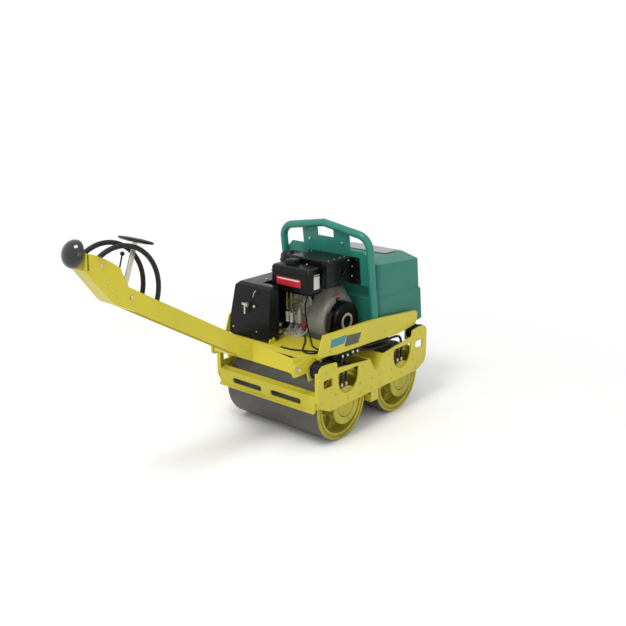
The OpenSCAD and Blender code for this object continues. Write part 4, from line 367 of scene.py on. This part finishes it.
def turned(profile, place, direction, sides=24, turn=0.0):
    """A profile of (radius, height) in mm, turned about a direction."""
    d, u, v = axes_for(direction)
    points = []
    for radius, height in profile:
        for i in range(sides):
            a = 2 * math.pi * i / sides + turn
            out = (u * math.cos(a) + v * math.sin(a)) * max(radius, least_radius)
            points.append(place + (d * height + out) / MM_IN_M)
    return points, ring_faces(len(profile), sides)


print("a turned shape never comes nearer to its axis than", least_radius, "mm")

# %% [markdown]
# ## Swept and flat shapes
#
# A pipe is a ring of points carried along a line. Each ring takes its direction from the one before it,
# so the tube doesn't twist. A plate is one outline at three levels: its back, the place where the edge
# starts to ease, and its face, which is a little smaller. A bevel could ease the edge too, but three
# levels are enough for a sheet this thin.

# %% Swept and flat shapes
def swept(route, radius, sides=12, ripple=0.0):
    """A round section of a radius in mm along a route of points in metres. A ripple makes a weld bead."""
    points = []
    last = len(route) - 1
    normal = None
    for k, p in enumerate(route):
        along = (route[min(k + 1, last)] - route[max(k - 1, 0)]).normalized()
        if normal is None:
            normal = along.orthogonal().normalized()
        normal = (normal - along * normal.dot(along)).normalized()
        across = along.cross(normal)
        r = radius * (1 + ripple * (k % 2)) / MM_IN_M
        for i in range(sides):
            a = 2 * math.pi * i / sides
            points.append(p + (normal * math.cos(a) + across * math.sin(a)) * r)
    return points, ring_faces(len(route), sides)


def rounded_outline(width, height, radius, steps=5):
    """A rectangle in mm whose corners are quarter circles."""
    x, y = width / 2 - radius, height / 2 - radius
    outline = []
    for corner, (cx, cy) in enumerate([(x, y), (-x, y), (-x, -y), (x, -y)]):
        for i in range(steps + 1):
            a = math.radians(90 * (corner + i / steps))
            outline.append((cx + radius * math.cos(a), cy + radius * math.sin(a)))
    return outline


def sheet_metal(outline, place, across, up, thickness, ease=0.3):
    """A flat plate in mm: an outline along two directions, with a small eased edge on its outer face."""
    u, v = Vector(across).normalized(), Vector(up).normalized()
    out = u.cross(v)
    cx = sum(p[0] for p in outline) / len(outline)
    cy = sum(p[1] for p in outline) / len(outline)
    points = []
    for level, shrink in ((0, 0), (thickness - ease, 0), (thickness, ease)):
        for x, y in outline:
            away = math.hypot(x - cx, y - cy) or 1
            k = 1 - shrink / away
            flat = u * (cx + (x - cx) * k) + v * (cy + (y - cy) * k)
            points.append(place + (flat + out * level) / MM_IN_M)
    return points, ring_faces(3, len(outline))


print("a rounded outline has", len(rounded_outline(10, 10, 2)), "points")

# %% [markdown]
# ## Joining shapes into a piece
#
# Screws of one group are one mesh, because they share a finish and ride on the same body. Faces that meet
# at a shallow angle are shaded smooth, and sharp ones stay sharp. Each piece gets its finish in one
# material slot.


def piece(name, shapes, material, body, sharp_deg=35):
    points, faces = [], []
    for p, f in shapes:
        faces += [tuple(i + len(points) for i in face) for face in f]
        points += p
    mesh = bpy.data.meshes.new(name)
    mesh.from_pydata([tuple(p) for p in points], [], faces)
    mesh.validate()
    mesh.polygons.foreach_set("use_smooth", [True] * len(mesh.polygons))
    mesh.set_sharp_from_angle(angle=math.radians(sharp_deg))
    mesh.materials.append(material)
    made = bpy.data.objects.new(name, mesh)
    bpy.context.scene.collection.objects.link(made)
    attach(made, body)


# %% [markdown]
# ## Screw heads
#
# A hexagon head sits on a washer and has a chamfer round its top. A button head is a low dome with a
# recess. Both are sized by their thread, so one number places a small or a large screw. Threads and
# shanks are hidden in the real machine, so only the heads are made.

# %% Screw heads
def hex_screw(place, direction, size):
    """A hexagon head with its chamfer, on a washer. Size is the thread in mm, and the rest are its shares."""
    washer = [(size * 1.05, 0), (size * 1.05, size * 0.16), (size * 0.95, size * 0.2)]
    head = [(size * 0.92, size * 0.2), (size * 0.92, size * 0.7), (size * 0.8, size * 0.82)]
    return [turned(washer, place, direction), turned(head, place, direction, 6)]


def button_screw(place, direction, size):
    """A low domed head with a recess in its middle."""
    dome = [(size, 0), (size, size * 0.12), (size * 0.86, size * 0.4), (size * 0.5, size * 0.56),
            (size * 0.3, size * 0.56), (size * 0.26, size * 0.3), (0, size * 0.3)]
    return [turned(dome, place, direction, 18)]


print("hexagon head and washer:", sum(len(shape[0]) for shape in hex_screw(at(0, 0, 0), UP, 6)), "points")

# %% [markdown]
# ## Screws of the console and the drawbar
#
# The console at the end of the drawbar holds levers and valves, and its side plates carry their screws.
# They sit on the tapering sides, so the distance from the middle is worked out along the taper. The ends
# of the levers' pivots are low domes. The small lever's pivot ends on the left side only.

# %% Console screws
arm_half, tip_half, taper_start, taper_end = 60.0, 45.0, -1391.56, -1600.6


def console_half(x):
    share = min(max((taper_start - x) / (taper_start - taper_end), 0), 1)
    return arm_half + (tip_half - arm_half) * share


screws = []
for x, z, size in ((-1517, 1134, 7), (-1454, 1009, 6), (-1497, 1060, 5), (-700, 560, 6)):
    for hand in (-1, 1):
        screws += hex_screw(at(x, hand * console_half(x), z), (0, hand, 0), size)
pivot_proud = 4
for hand, x, z, size in ((-1, -1380, 971, 9), (1, -1380, 971, 9), (1, -1400, 992, 6)):
    screws += button_screw(at(x, hand * (console_half(x) + pivot_proud), z), (0, hand, 0), size)
piece("console_screws", screws, zinc_plate, "drawbar")
print("console screws:", len(screws))

# %% [markdown]
# ## Weld beads
#
# The drawbar's straight arm is welded to its fork, the buffer brackets to the deck and the centre channel
# to the side plates. A manual weld is a row of small overlapping scales. A swept tube whose radius changes
# from ring to ring draws them without any texture.

# %% Welds
def bead(start, end, radius=2.6, scale_mm=2.2):
    count = max(int((end - start).length * MM_IN_M / scale_mm), 2)
    return swept([start.lerp(end, i / count) for i in range(count + 1)], radius, 8, ripple=0.16)


seam_x, plate_y = -650.5, 352
beads = [bead(at(seam_x, -58, 586.5), at(seam_x, 58, 586.5))]
for hand in (-1, 1):
    beads.append(bead(at(seam_x, hand * 60.5, 490), at(seam_x, hand * 60.5, 584)))
piece("fork_welds", beads, yellow_paint, "drawbar", 60)
beads = []
for hand in (-1, 1):
    beads.append(bead(at(-439, hand * 280, 473), at(-439, hand * 280, 499)))
    beads.append(bead(at(-66, hand * plate_y, 401.6), at(-44, hand * plate_y, 330)))
piece("deck_welds", beads, yellow_paint, "machine", 60)
print("weld beads done")

# %% [markdown]
# ## Plain foils
#
# Thin foils lie on the rails, the fuel tank and the fan housing. Each one is half a millimetre of vinyl,
# calendered, so it is even and half glossy. It could be a coloured patch in the paint's material, but a
# sheet has an edge that catches light and needs no unwrapping.

# %% Foils
red_foil = surface("vinyl_foil_red", "#b8202e", "#9c1d2a", 80, 8, 0.02, 0.3, 0.05, dust=0.3)
white_foil = surface("vinyl_foil_white", "#d6d6d2", "#c4c4be", 60, 8, 0.02, 0.32, 0.05, dust=0.4)
teal_foil = surface("vinyl_foil_teal", "#2f7f86", "#2a6d74", 60, 8, 0.02, 0.3, 0.05, dust=0.3)
dark_foil = surface("vinyl_foil_dark", "#3f4038", "#4a4b42", 60, 8, 0.02, 0.34, 0.05, dust=0.3)
foil_mm, foil_ease_mm, wall_sunk = 0.5, 0.1, 3.0
fuel_low, fuel_high = box_mm("fuel_tank")
fuel_rear = at(fuel_low[0] + wall_sunk, 4, 816)
fuel_side = at(-241, fuel_low[1] + wall_sunk, 826)
fuel_stripe = fuel_rear + Vector((-0.0005, 0, 0.013))
fan_side = at(-83.2, -150.4, 727)
foils = [
    ("fuel_tank_foil_red", red_foil, fuel_rear, RIGHT, UP, (168, 44, 4)),
    ("fuel_tank_foil_white", white_foil, fuel_side, AHEAD, UP, (46, 78, 4)),
    ("fuel_tank_foil_stripe", white_foil, fuel_stripe, RIGHT, UP, (150, 6, 2)),
    ("fan_housing_foil", red_foil, fan_side, (1, 0, 0.14), (-0.14, 0, 1), (48, 13, 2)),
]
for name, material, place, across, upward, size_and_radius in foils:
    outline = rounded_outline(*size_and_radius)
    piece(name, [sheet_metal(outline, place, across, upward, foil_mm, foil_ease_mm)], material, "machine")
print("foils:", [f[0] for f in foils])

# %% [markdown]
# ## The rail's foils
#
# The right rail has a teal foil and a dark one side by side, and the left rail the same ones in mirror
# image. Their ends lean forward, so each one is drawn by its four corners, in millimetres along the rail
# and above the ground. The lower corners come first.

# %% Foils on the rails
rail_foils = {"teal": (teal_foil, [(-363, 536), (-246, 533), (-228, 576), (-354, 578)]),
              "dark": (dark_foil, [(-244, 514), (-124, 506), (-102, 560), (-226, 570)])}
rail_y = 330.0
for hand, word in ((-1, "right"), (1, "left")):
    for name, (material, corners) in rail_foils.items():
        outline = [(-hand * x, z) for x, z in corners]
        foil = sheet_metal(outline, at(0, hand * rail_y, 0), (-hand, 0, 0), UP, foil_mm, foil_ease_mm)
        piece(f"{word}_rail_foil_{name}", [foil], material, "machine")
print("rail foils on both sides")

# %% [markdown]
# ## The pale ring of the recoil starter
#
# The starter's cover has a raised ring with a pale foil on it. A turned, very flat profile gives the ring
# its rounded edges. Its two ends are left open and joined to each other, so the ring has a hole. Three
# screws hold the cover.

# %% Ring foil and cover screws
crank_x, crank_z = -58, 582
ring_face = at(crank_x, box_mm("recoil_cover")[0][1] - 0.1, crank_z)
pale_foil = surface("vinyl_foil_pale", "#cbb8b2", "#b9a09a", 14, 8, 0.02, 0.32, 0.05, dust=0.7)
ring_profile = [(33, 0), (33, 0.5), (33.5, 0.7), (46.5, 0.7), (47, 0.5), (47, 0)]
ring_sides = 48
points, faces = without_ends(turned(ring_profile, ring_face, RIGHT, ring_sides))
last = (len(ring_profile) - 1) * ring_sides
for i in range(ring_sides):
    j = (i + 1) % ring_sides
    faces.append((last + i, last + j, j, i))
piece("starter_ring_foil", [(points, faces)], pale_foil, "machine", 50)
screws = []
screw_circle, screw_y = 121, -156.4
for angle in (20, 140, 260):
    a = math.radians(angle)
    place = at(crank_x + screw_circle * math.cos(a), screw_y, crank_z - screw_circle * math.sin(a))
    screws += hex_screw(place, RIGHT, 5)
piece("starter_screws", screws, zinc_plate, "machine")
print("starter dressed")

# %% [markdown]
# ## Pipes on the engine
#
# Behind the fan housing sits what makes this engine look busy: a steel injection pipe from the pump up to
# the head, and two fuel hoses from the tank down to the filters. They are thin tubes on smooth lines. A
# spline through a few placed points is enough, because these pipes are bent by hand on the real engine
# too.

# %% Smooth lines
def smooth(points, steps=8):
    """A line through the points that bends evenly, as a list of places in metres."""
    pts = [at(*p) for p in points]
    line = []
    for i in range(len(pts) - 1):
        a, b, c, d = pts[max(i - 1, 0)], pts[i], pts[i + 1], pts[min(i + 2, len(pts) - 1)]
        for k in range(steps):
            t = k / steps
            line.append(b + (c - a) * (t / 2) + (2 * a - 5 * b + 4 * c - d) * (t * t / 2)
                        + (3 * b - a - 3 * c + d) * (t * t * t / 2))
    return line + [pts[-1]]


def tube(radius, points, sides=12):
    """A round tube of a radius in mm along a smooth line through the points."""
    return swept(smooth(points), radius, sides)


print("a smooth line through 3 places has", len(smooth([(0, 0, 0), (1, 0, 0), (1, 1, 0)])), "points")

# %% [markdown]
# ## Injection pipe and fuel hoses
#
# The injection pipe is drawn steel, bright, with a nut at each end. The fuel hoses are clear polyurethane
# and look amber with the fuel in them. Zinc plated clips hold them.

# %% Injection pipe and fuel hoses
pipe_steel = surface("steel_drawn_tube", "#aeb0ac", "#8b8d88", 20, 1.0, 0.03, 0.28, 0.06, metallic=0.95,
                     dust=0.4)
clear_hose = surface("polyurethane_hose", "#b59a4a", "#8c7a44", 30, 2.0, 0.03, 0.3, 0.05, dust=0.4)
pipe = tube(3.2, [(-188, 26, 637), (-188, 26, 655), (-190, 18, 690), (-184, 8, 720), (-168, 2, 742),
                  (-140, 0, 754), (-136, 0, 756)])
nut = [(5.5, 0), (5.5, 9), (4.4, 11)]
nuts = [turned(nut, at(-188, 26, 631), UP, 6), turned(nut, at(-133.5, 0, 757), (-1, 0, 0.2), 6)]
piece("injection_pipe", [pipe] + nuts, pipe_steel, "machine", 50)
hoses = [tube(4.0, [(-194, 77, 622), (-196, 76, 650), (-204, 70, 690), (-212, 62, 725), (-216, 58, 756)]),
         tube(4.0, [(-194, 105, 622), (-202, 104, 646), (-214, 92, 690), (-222, 84, 725),
                    (-226, 80, 756)])]
piece("fuel_hoses", hoses, clear_hose, "machine", 60)
clip = [(5.2, -3), (5.6, -2), (5.6, 2), (5.2, 3)]
clips = [turned(clip, at(*p), UP, 16)
         for p in ((-194, 77, 624), (-194, 105, 624), (-216, 58, 750), (-226, 80, 750))]
piece("hose_clips", clips, zinc_plate, "machine", 50)
print("engine pipes done")

# %% [markdown]
# ## The silver castings below the fuel tank
#
# Between the fuel tank and the deck the real engine shows a die cast gear case with bosses and ribs, and
# above it the plate that leads cooling air past the cylinder. They could be one sculpted lump, but a plate
# with an outline, bosses that are turned and ribs that are swept keep every edge where a real mould has
# one. The gear case's rear face is where the crankcase's half length and its cover end, behind the
# crankshaft.

# %% Air guide and gear case
case_half, case_cover = 106.2, 6
case_x = crank_x - case_half - case_cover
guide = [(-44, 612), (-46, 700), (-20, 738), (86, 738), (112, 702), (118, 640), (96, 612)]
shapes = [sheet_metal([(-y, z) for y, z in guide], at(case_x, 0, 0), RIGHT, UP, 4.0, 1.2)]


def ribs(routes, out_by, radius):
    """Ribs on the gear case's rear face, each between two places (y, z)."""
    return [swept([at(case_x - out_by, y, z) for y, z in route], radius, 10) for route in routes]


shapes += ribs(([(-30, 700), (70, 716)], [(-30, 676), (92, 690)], [(-30, 652), (98, 664)],
                [(84, 626), (96, 700)]), 4.5, 3.4)
piece("air_guide", shapes, cast_aluminium, "machine", 40)
shapes = []
bosses = ((-30, 634, 9, 12), (4, 690, 12, 12), (40, 668, 8, 16), (70, 700, 10, 12), (92, 724, 8, 12),
          (-26, 724, 9, 10), (-30, 590, 8, 7), (62, 540, 10, 7), (30, 628, 7, 14), (-16, 552, 9, 8))
for y, z, radius, tall in bosses:
    profile = [(radius, 0), (radius * 0.94, tall * 0.8), (radius * 0.7, tall), (radius * 0.4, tall),
               (radius * 0.36, tall * 0.6), (0, tall * 0.6)]
    shapes.append(turned(profile, at(case_x, y, z), BACK, 24))
shapes += ribs(([(-34, 512), (-30, 590)], [(14, 512), (10, 560)], [(98, 520), (92, 600)],
                [(40, 512), (58, 536)]), 1.5, 3.6)
piece("gear_case_bosses", shapes, cast_aluminium, "machine", 40)
print("gear case face at x =", round(case_x, 1), "mm, bosses:", len(bosses))

# %% [markdown]
# ## The engine's foot
#
# The gear case stands on a cast foot that is bolted to the deck. Its outline steps in between the bolts,
# and four webs carry it up to the case. Smaller screws close the bosses above.

# %% Foot and bolts
deck_top, foot_mm, boss_mm = 500.5, 13.0, 12
foot = [(-170, -34), (-236, -30), (-262, -12), (-262, 18), (-240, 30), (-240, 62), (-258, 74),
        (-256, 96), (-170, 98)]
web = [(-170, 512), (-232, 512), (-206, 520), (-174, 556)]
shapes = [sheet_metal(foot, at(0, 0, deck_top), AHEAD, LEFT, foot_mm, 2.0)]
shapes += [sheet_metal(web, at(0, y, 0), AHEAD, UP, 6.0, 1.0) for y in (-30, 16, 52, 94)]
piece("engine_foot", shapes, cast_aluminium, "machine", 40)
screws = []
for x, y in ((-248, 2), (-246, 84), (-216, -20), (-216, 38)):
    screws += hex_screw(at(x, y, deck_top + foot_mm), UP, 8)
for y, z in ((4, 690), (70, 700), (-30, 634), (92, 724)):
    screws += hex_screw(at(case_x - boss_mm, y, z), BACK, 5)
piece("engine_foot_bolts", screws, zinc_plate, "machine")
print("foot bolts and boss screws:", len(screws) // 2)

# %% [markdown]
# ## Cables and suction hoses
#
# The stop cable runs down the edge of the fan housing, crosses the deck and ends under the rail. A second
# one lies along the rear edge. Three hoses leave the pump's black cover and run low beside the crankcase,
# two of them from crimped ends.

# %% Cables and suction hoses
cables = [tube(4.2, [(-196, -40, 728), (-214, -42, 690), (-218, -42, 640), (-206, -42, 580),
                     (-196, -48, 530), (-212, -70, 506), (-262, -120, 505.5), (-318, -176, 505.5),
                     (-344, -236, 505.5), (-340, -300, 505.5)], 10),
          tube(4.2, [(-338, -306, 505), (-366, -262, 505), (-402, -196, 505), (-430, -130, 505),
                     (-434, -60, 505)], 10)]
piece("stop_cables", cables, rubber, "machine", 60)
hoses = [tube(11, [(-335, 52, 540), (-318, 56, 538), (-296, 70, 520), (-276, 96, 512), (-250, 122, 512),
                   (-212, 138, 516)], 14),
         tube(9, [(-335, 52, 578), (-312, 56, 574), (-286, 76, 548), (-262, 104, 536), (-236, 124, 538),
                  (-205, 130, 546)], 14),
         tube(6, [(-330, 96, 506), (-300, 102, 506), (-270, 118, 506), (-240, 138, 506)])]
piece("suction_hoses", hoses, rubber, "machine", 60)
crimp = [(13, -7), (13, 6), (12, 8), (12.6, 10), (12.6, 20), (11.6, 22)]
ends = [turned(crimp, at(-335, 52, z), (1, 0.1, -0.05), 20) for z in (540, 578)]
piece("suction_hose_ends", ends, zinc_plate, "machine", 40)
print("cables:", len(cables), "suction hoses:", len(hoses))

# %% [markdown]
# ## Governor rods and return lines
#
# Bent rods link the throttle to the governor. Two return lines with ring fittings take fuel back, one to
# the tank and one to a filter. A small plate holds the speed control. They are wires and thin tubes on the
# real engine, so the same swept shape makes them all.

# %% Rods, return lines and speed control
rods = [tube(2.2, [(-190, 88, 634), (-196, 70, 630), (-197, 40, 604), (-196, 16, 596), (-194, 2, 600)], 10),
        tube(2.6, [(-196, 60, 592), (-200, 66, 640), (-206, 40, 668), (-202, 8, 676),
                   (-190, -10, 668)], 10),
        tube(3.4, [(-186, 4, 690), (-200, -4, 700), (-214, -12, 726), (-216, -14, 754)]),
        tube(3.4, [(-186, 70, 700), (-196, 82, 694), (-200, 96, 672), (-196, 104, 640), (-194, 105, 624)])]
for p in ((-186, 4, 690), (-186, 70, 700), (-196, 16, 596)):
    rods.append(turned([(6.5, -4), (7, -3), (7, 3), (6.5, 4)], at(*p), BACK, 20))
piece("governor_rods", rods, pipe_steel, "machine", 60)
outline = [(-108, 618), (-108, 650), (-84, 662), (-60, 654), (-60, 640), (-80, 618)]
bracket = [sheet_metal(outline, at(-184, 0, 0), RIGHT, UP, 2.5, 0.5)]
bracket += hex_screw(at(-186.5, 100, 640), BACK, 4) + hex_screw(at(-186.5, 70, 648), BACK, 4)
piece("speed_control_plate", bracket, zinc_plate, "machine")
print("rods and lines with their fittings:", len(rods))

# %% [markdown]
# ## Engine screws, dipstick and governor
#
# The gear case's cover has a ring of screws and the crankcase has two rows beside it. A governor lever
# with its spring hangs beside the pump, and the dipstick stands in its tube. Small bright things like
# these are what the eye finds between two dark covers.

# %% Engine screws, dipstick and governor
screws = []
cover_screws = ((-16, 530), (-16, 570), (-16, 605), (20, 528), (55, 528), (88, 530), (88, 556), (66, 606),
                (-2, 606))
for y, z in cover_screws:
    screws += hex_screw(at(case_x, y, z), BACK, 4)
case_rear_x = -169.2
for y in (-34, 104):
    for z in (520, 560, 600):
        screws += hex_screw(at(case_rear_x, y, z), BACK, 3.6)
piece("crankcase_screws", screws, zinc_plate, "machine")
dipstick = [tube(3.0, [(-184, -30, 540), (-186, -31, 570), (-186, -32, 600)]),
            turned([(6, 0), (7, 2), (7, 8), (4, 12)], at(-186, -32, 600), UP, 16)]
piece("dipstick", dipstick, pipe_steel, "machine", 50)
coil = []
coil_turns, turn_steps, coil_radius, wire_radius = 8, 12, 4.2, 0.8
for i in range(coil_turns * turn_steps + 1):
    a = 2 * math.pi * i / turn_steps
    coil.append(at(-192 + coil_radius * math.cos(a), 62 + 0.5 * i / 3, 560 + coil_radius * math.sin(a)))
piece("governor_spring", [swept(coil, wire_radius, 6)], pipe_steel, "machine", 60)
governor = sheet_metal(rounded_outline(12, 64, 5), at(-190, 60, 566), RIGHT, UP, 2.5)
piece("governor_lever", [governor, *hex_screw(at(-192.5, 60, 592), BACK, 4)], zinc_plate, "machine")
print("engine details done")

# %% [markdown]
# ## Screws of the silencer
#
# The silencer's heat shield has black screws round its side. The silencer's top has two rows of plated
# ones, and three more hold its front end.

# %% Silencer screws
silencer_low, silencer_high = box_mm("silencer_box")
screws = []
for x, z in ((-198, 908), (-198, 806), (-118, 912), (-30, 908), (-30, 806), (-118, 802)):
    screws += button_screw(at(x, silencer_low[1], z), RIGHT, 5)
piece("shield_screws", screws, black_paint, "machine")
screws = []
for x in (-158, -110, -60, -20):
    for y in (-150, 80):
        screws += hex_screw(at(x, y, silencer_high[2]), UP, 4)
for x, z in ((-30, 912), (4, 872), (4, 820)):
    screws += hex_screw(at(x, silencer_low[1] - 0.2, z), RIGHT, 5)
piece("silencer_top_screws", screws, zinc_plate, "machine")
print("silencer top at z =", round(silencer_high[2], 1), "mm")

# %% [markdown]
# ## Screws of the pump cover
#
# The black cover over the pump has screws along its lower edge and its right side, two yellow tabs on the
# deck, and a wire clip between its plated screws.

# %% Pump cover screws, clip and tabs
screws = []
cover_rear, cover_right, cover_step = -430.6, 30, 145
for y in (52, 130, 214, 290):
    screws += button_screw(at(cover_rear, y, 520), BACK, 4.5)
for x, y, z in ((-400, cover_right, 524), (-400, cover_right, 740), (-365, cover_right, 524),
                (-365, cover_right, 740), (-320, cover_step, 524), (-240, cover_step, 524),
                (-160, cover_step, 524)):
    screws += button_screw(at(x, y, z), RIGHT, 4.5)
piece("pump_cover_screws", screws, black_paint, "machine")
clip = hex_screw(at(cover_rear, 130, 687), BACK, 7) + hex_screw(at(-285, 169.5, 798.2), UP, 7)
clip.append(tube(2.4, [(-425, 122, 772), (-434, 124, 766), (-436, 130, 750), (-433, 136, 738)], 10))
for y, z in ((118, 549), (288, 547)):
    clip += hex_screw(at(-430.4, y, z), BACK, 5)
piece("pump_cover_clip", clip, zinc_plate, "machine")
tab_outlines = ((22, [(-440, deck_top), (-416, deck_top), (-418, 522), (-427, 528), (-438, 522)]),
                (27, [(-408, deck_top), (-386, deck_top), (-388, 524), (-396, 530), (-406, 524)]))
tabs = [sheet_metal(outline, at(0, y, 0), AHEAD, UP, 4.0, 0.8) for y, outline in tab_outlines]
piece("cover_tabs", tabs, yellow_paint, "machine", 40)
print("pump cover screws:", len(screws), "tabs:", len(tabs))

# %% [markdown]
# ## The exhaust's outlet ring
#
# The outlet is a short pipe in a round hole. Its steel is stained by heat, which makes it dull and dark
# with a rusty brown. A tube with its ends left open lets the eye see into it.

# %% Outlet pipe
burnt_steel = surface("steel_heat_stained", "#4a3a30", "#2c2522", 8, 1.2, 0.1, 0.6, 0.1, metallic=0.6,
                      dust=0.8)
outlet = at(-82.2, silencer_low[1] + 1.0, 857.5)
mouth = [(15.6, 10), (15.6, -1.5), (16.4, -2.4), (17.4, -1.5), (17.4, 10)]
piece("outlet_pipe", [without_ends(turned(mouth, outlet, LEFT, 32))], burnt_steel, "machine", 60)
print("outlet done")

# %% [markdown]
# ## Hydraulic fittings
#
# Each hose ends in a hexagon and a crimped ferrule. They are zinc plated and shine between the dark hoses.
# The crimp's rings are steps of the turned profile, because a bump in the finish would leave its outline
# smooth.

# %% Hexagons and ferrules
fittings = []
ferrule = [(7.6, 8), (8.4, 9), (8.4, 12), (7.7, 13), (8.4, 14), (8.4, 17), (7.7, 18), (8.4, 19),
           (8.4, 24), (7.5, 25)]
for hand in (-1, 1):
    for x in (-271.5, -235.5, 235.5, 271.5):
        base = at(x, hand * 334.5, 296.5)
        fittings.append(turned([(8.6, 0), (8.6, 7), (8.0, 8)], base, UP, 6))
        fittings.append(turned(ferrule, base, UP, 20))
    for x, z in ((-246, 460), (-206, 456), (-160, 462), (-120, 458)):
        place = at(x, hand * 308, z)
        fittings.append(turned([(9.4, 0), (9.4, 6), (8.8, 7)], place, (0, hand, 0), 6, 0.3))
        fittings.append(turned([(7.9, 6), (8.4, 8), (8.4, 13), (7.6, 14)], place, (0, hand, 0), 20))
piece("hose_fittings", fittings, zinc_plate, "machine", 40)
print("fittings:", len(fittings))

# %% [markdown]
# ## Drum hubs
#
# Round the hub of each drum a ring of eight screws holds the bearing cover. They turn with the drum.

# %% Hub screws
hub_screws, hub_circle, hub_y, axle_x, axle_z = 8, 92, 253.0, 253.5, 200
for word, x in (("rear", -axle_x), ("front", axle_x)):
    screws = []
    for hand in (-1, 1):
        for i in range(hub_screws):
            a = 2 * math.pi * i / hub_screws
            place = at(x + hub_circle * math.cos(a), hand * hub_y, axle_z + hub_circle * math.sin(a))
            screws += hex_screw(place, (0, hand, 0), 5)
    piece(f"{word}_hub_screws", screws, zinc_plate, f"{word}_drum")
print("hub screws done")

# %% [markdown]
# ## Screws of the upper frame
#
# The rails are bolted to the deck and the cradle with painted screws. Two plated ones sit on the hoop's
# plate. On the fuel tank stand a breather and a small cap.

# %% Rail and hoop screws, breather
screws = []
for hand in (-1, 1):
    for x, z in ((-360, 520), (-120, 520), (120, 512), (330, 500)):
        screws += hex_screw(at(x, hand * rail_y, z), (0, hand, 0), 6)
piece("rail_screws", screws, yellow_paint, "machine")
screws = []
for y in (-112, 112):
    screws += hex_screw(at(5.5, y, 987), (-1, 0, -0.13), 8)
piece("hoop_plate_screws", screws, zinc_plate, "machine")
breather_z = fuel_high[2] - 6
tall_profile = [(7, 0), (8, 1.5), (8, 6), (5, 8), (5, 13), (7, 14), (7, 18), (5, 20)]
low_profile = [(6, 0), (7, 1.5), (7, 6), (4, 8)]
breather = [turned(tall_profile, at(-202, 76, breather_z), UP, 20),
            turned(low_profile, at(-190, -31, breather_z), UP, 20)]
piece("fuel_tank_breather", breather, zinc_plate, "machine", 40)
print("rail screws and breather done")

# %% [markdown]
# ## The floor
#
# The photograph is a cut-out on white with a soft shadow. The floor is pale and matte, and far from the
# machine it turns into plain white, so that no horizon shows. It could be white all over, but then the
# shadow would be lost.

# %% Floor
half_side_m, fade_from_m, fade_to_m = 14.0, 1.3, 3.2
corners = [(-1, -1), (1, -1), (1, 1), (-1, 1)]
mesh = bpy.data.meshes.new("studio_floor")
mesh.from_pydata([(x * half_side_m, y * half_side_m, 0) for x, y in corners], [], [(0, 1, 2, 3)])
floor_finish = bpy.data.materials.new("studio_paper_white")
floor_finish.use_nodes = True
tree = floor_finish.node_tree
tree.nodes.clear()
place = add(tree, "ShaderNodeTexCoord").outputs["Object"]
away = add(tree, "ShaderNodeVectorMath", {"operation": "LENGTH"}, i0=place)
fade = add(tree, "ShaderNodeMapRange", {"interpolation_type": "SMOOTHSTEP"}, Value=away.outputs["Value"],
           From_Min=fade_from_m, From_Max=fade_to_m)
fibre = add(tree, "ShaderNodeTexNoise", Vector=place, Scale=per_metre(400), Detail=2.0)
paper = add(tree, "ShaderNodeMix", {"data_type": "RGBA"}, i0=fibre.outputs["Fac"],
            i6=linear("#fcfcfc"), i7=linear("#f8f8f6"))
matte = add(tree, "ShaderNodeBsdfDiffuse", Color=paper.outputs[2])
white = add(tree, "ShaderNodeEmission", Color=(1, 1, 1, 1), Strength=1.0)
both = add(tree, "ShaderNodeMixShader", i0=fade.outputs["Result"], i1=matte.outputs["BSDF"],
           i2=white.outputs["Emission"])
add(tree, "ShaderNodeOutputMaterial", Surface=both.outputs["Shader"])
mesh.materials.append(floor_finish)
floor = bpy.data.objects.new("studio_floor", mesh)
bpy.context.scene.collection.objects.link(floor)
print("floor", half_side_m * 2, "m")

# %% [markdown]
# ## The light
#
# The world gives even light, and a lamp high above the operator throws the machine's shadow forward and a
# little to its left. A weak second lamp beside the camera keeps the near sides from going dark. The world
# is a little weaker as a light than it looks, so the background stays white while the machine keeps its
# shading.

# %% World and lamps
world = bpy.data.worlds.new("studio_world")
bpy.context.scene.world = world
world.use_nodes = True
tree = world.node_tree
tree.nodes.clear()
ray = add(tree, "ShaderNodeLightPath")
seen = add(tree, "ShaderNodeMath", {"operation": "MAXIMUM"}, i0=ray.outputs["Is Camera Ray"],
           i1=ray.outputs["Is Glossy Ray"])
seen = add(tree, "ShaderNodeMath", {"operation": "MAXIMUM"}, i0=seen.outputs["Value"],
           i1=ray.outputs["Is Transmission Ray"])
light_level, seen_level = 0.84, 1.0
level = add(tree, "ShaderNodeMapRange", Value=seen.outputs["Value"], To_Min=light_level,
            To_Max=seen_level)
sky = add(tree, "ShaderNodeBackground", Color=(1, 1, 1, 1), Strength=level.outputs["Result"])
add(tree, "ShaderNodeOutputWorld", Surface=sky.outputs["Background"])


def lamp(name, place, target, width, height, watts):
    """A rectangular lamp, in metres, that shines at a target."""
    data = bpy.data.lights.new(name, "AREA")
    data.shape = "RECTANGLE"
    data.size, data.size_y, data.energy = width, height, watts
    made = bpy.data.objects.new(name, data)
    bpy.context.scene.collection.objects.link(made)
    aim = (target - place).to_track_quat("-Z", "Y").to_matrix().to_4x4()
    made.matrix_world = Matrix.Translation(place) @ aim


lamp("wide_lamp_above", Vector((-2.0, -0.4, 4.4)), Vector((0.35, 0.05, 0.3)), 1.3, 1.3, 95)
lamp("fill_lamp_camera_side", Vector((-2.6, -4.2, 2.4)), Vector((0.2, 0.0, 0.6)), 2.4, 1.8, 18)
print("lamps and world ready")
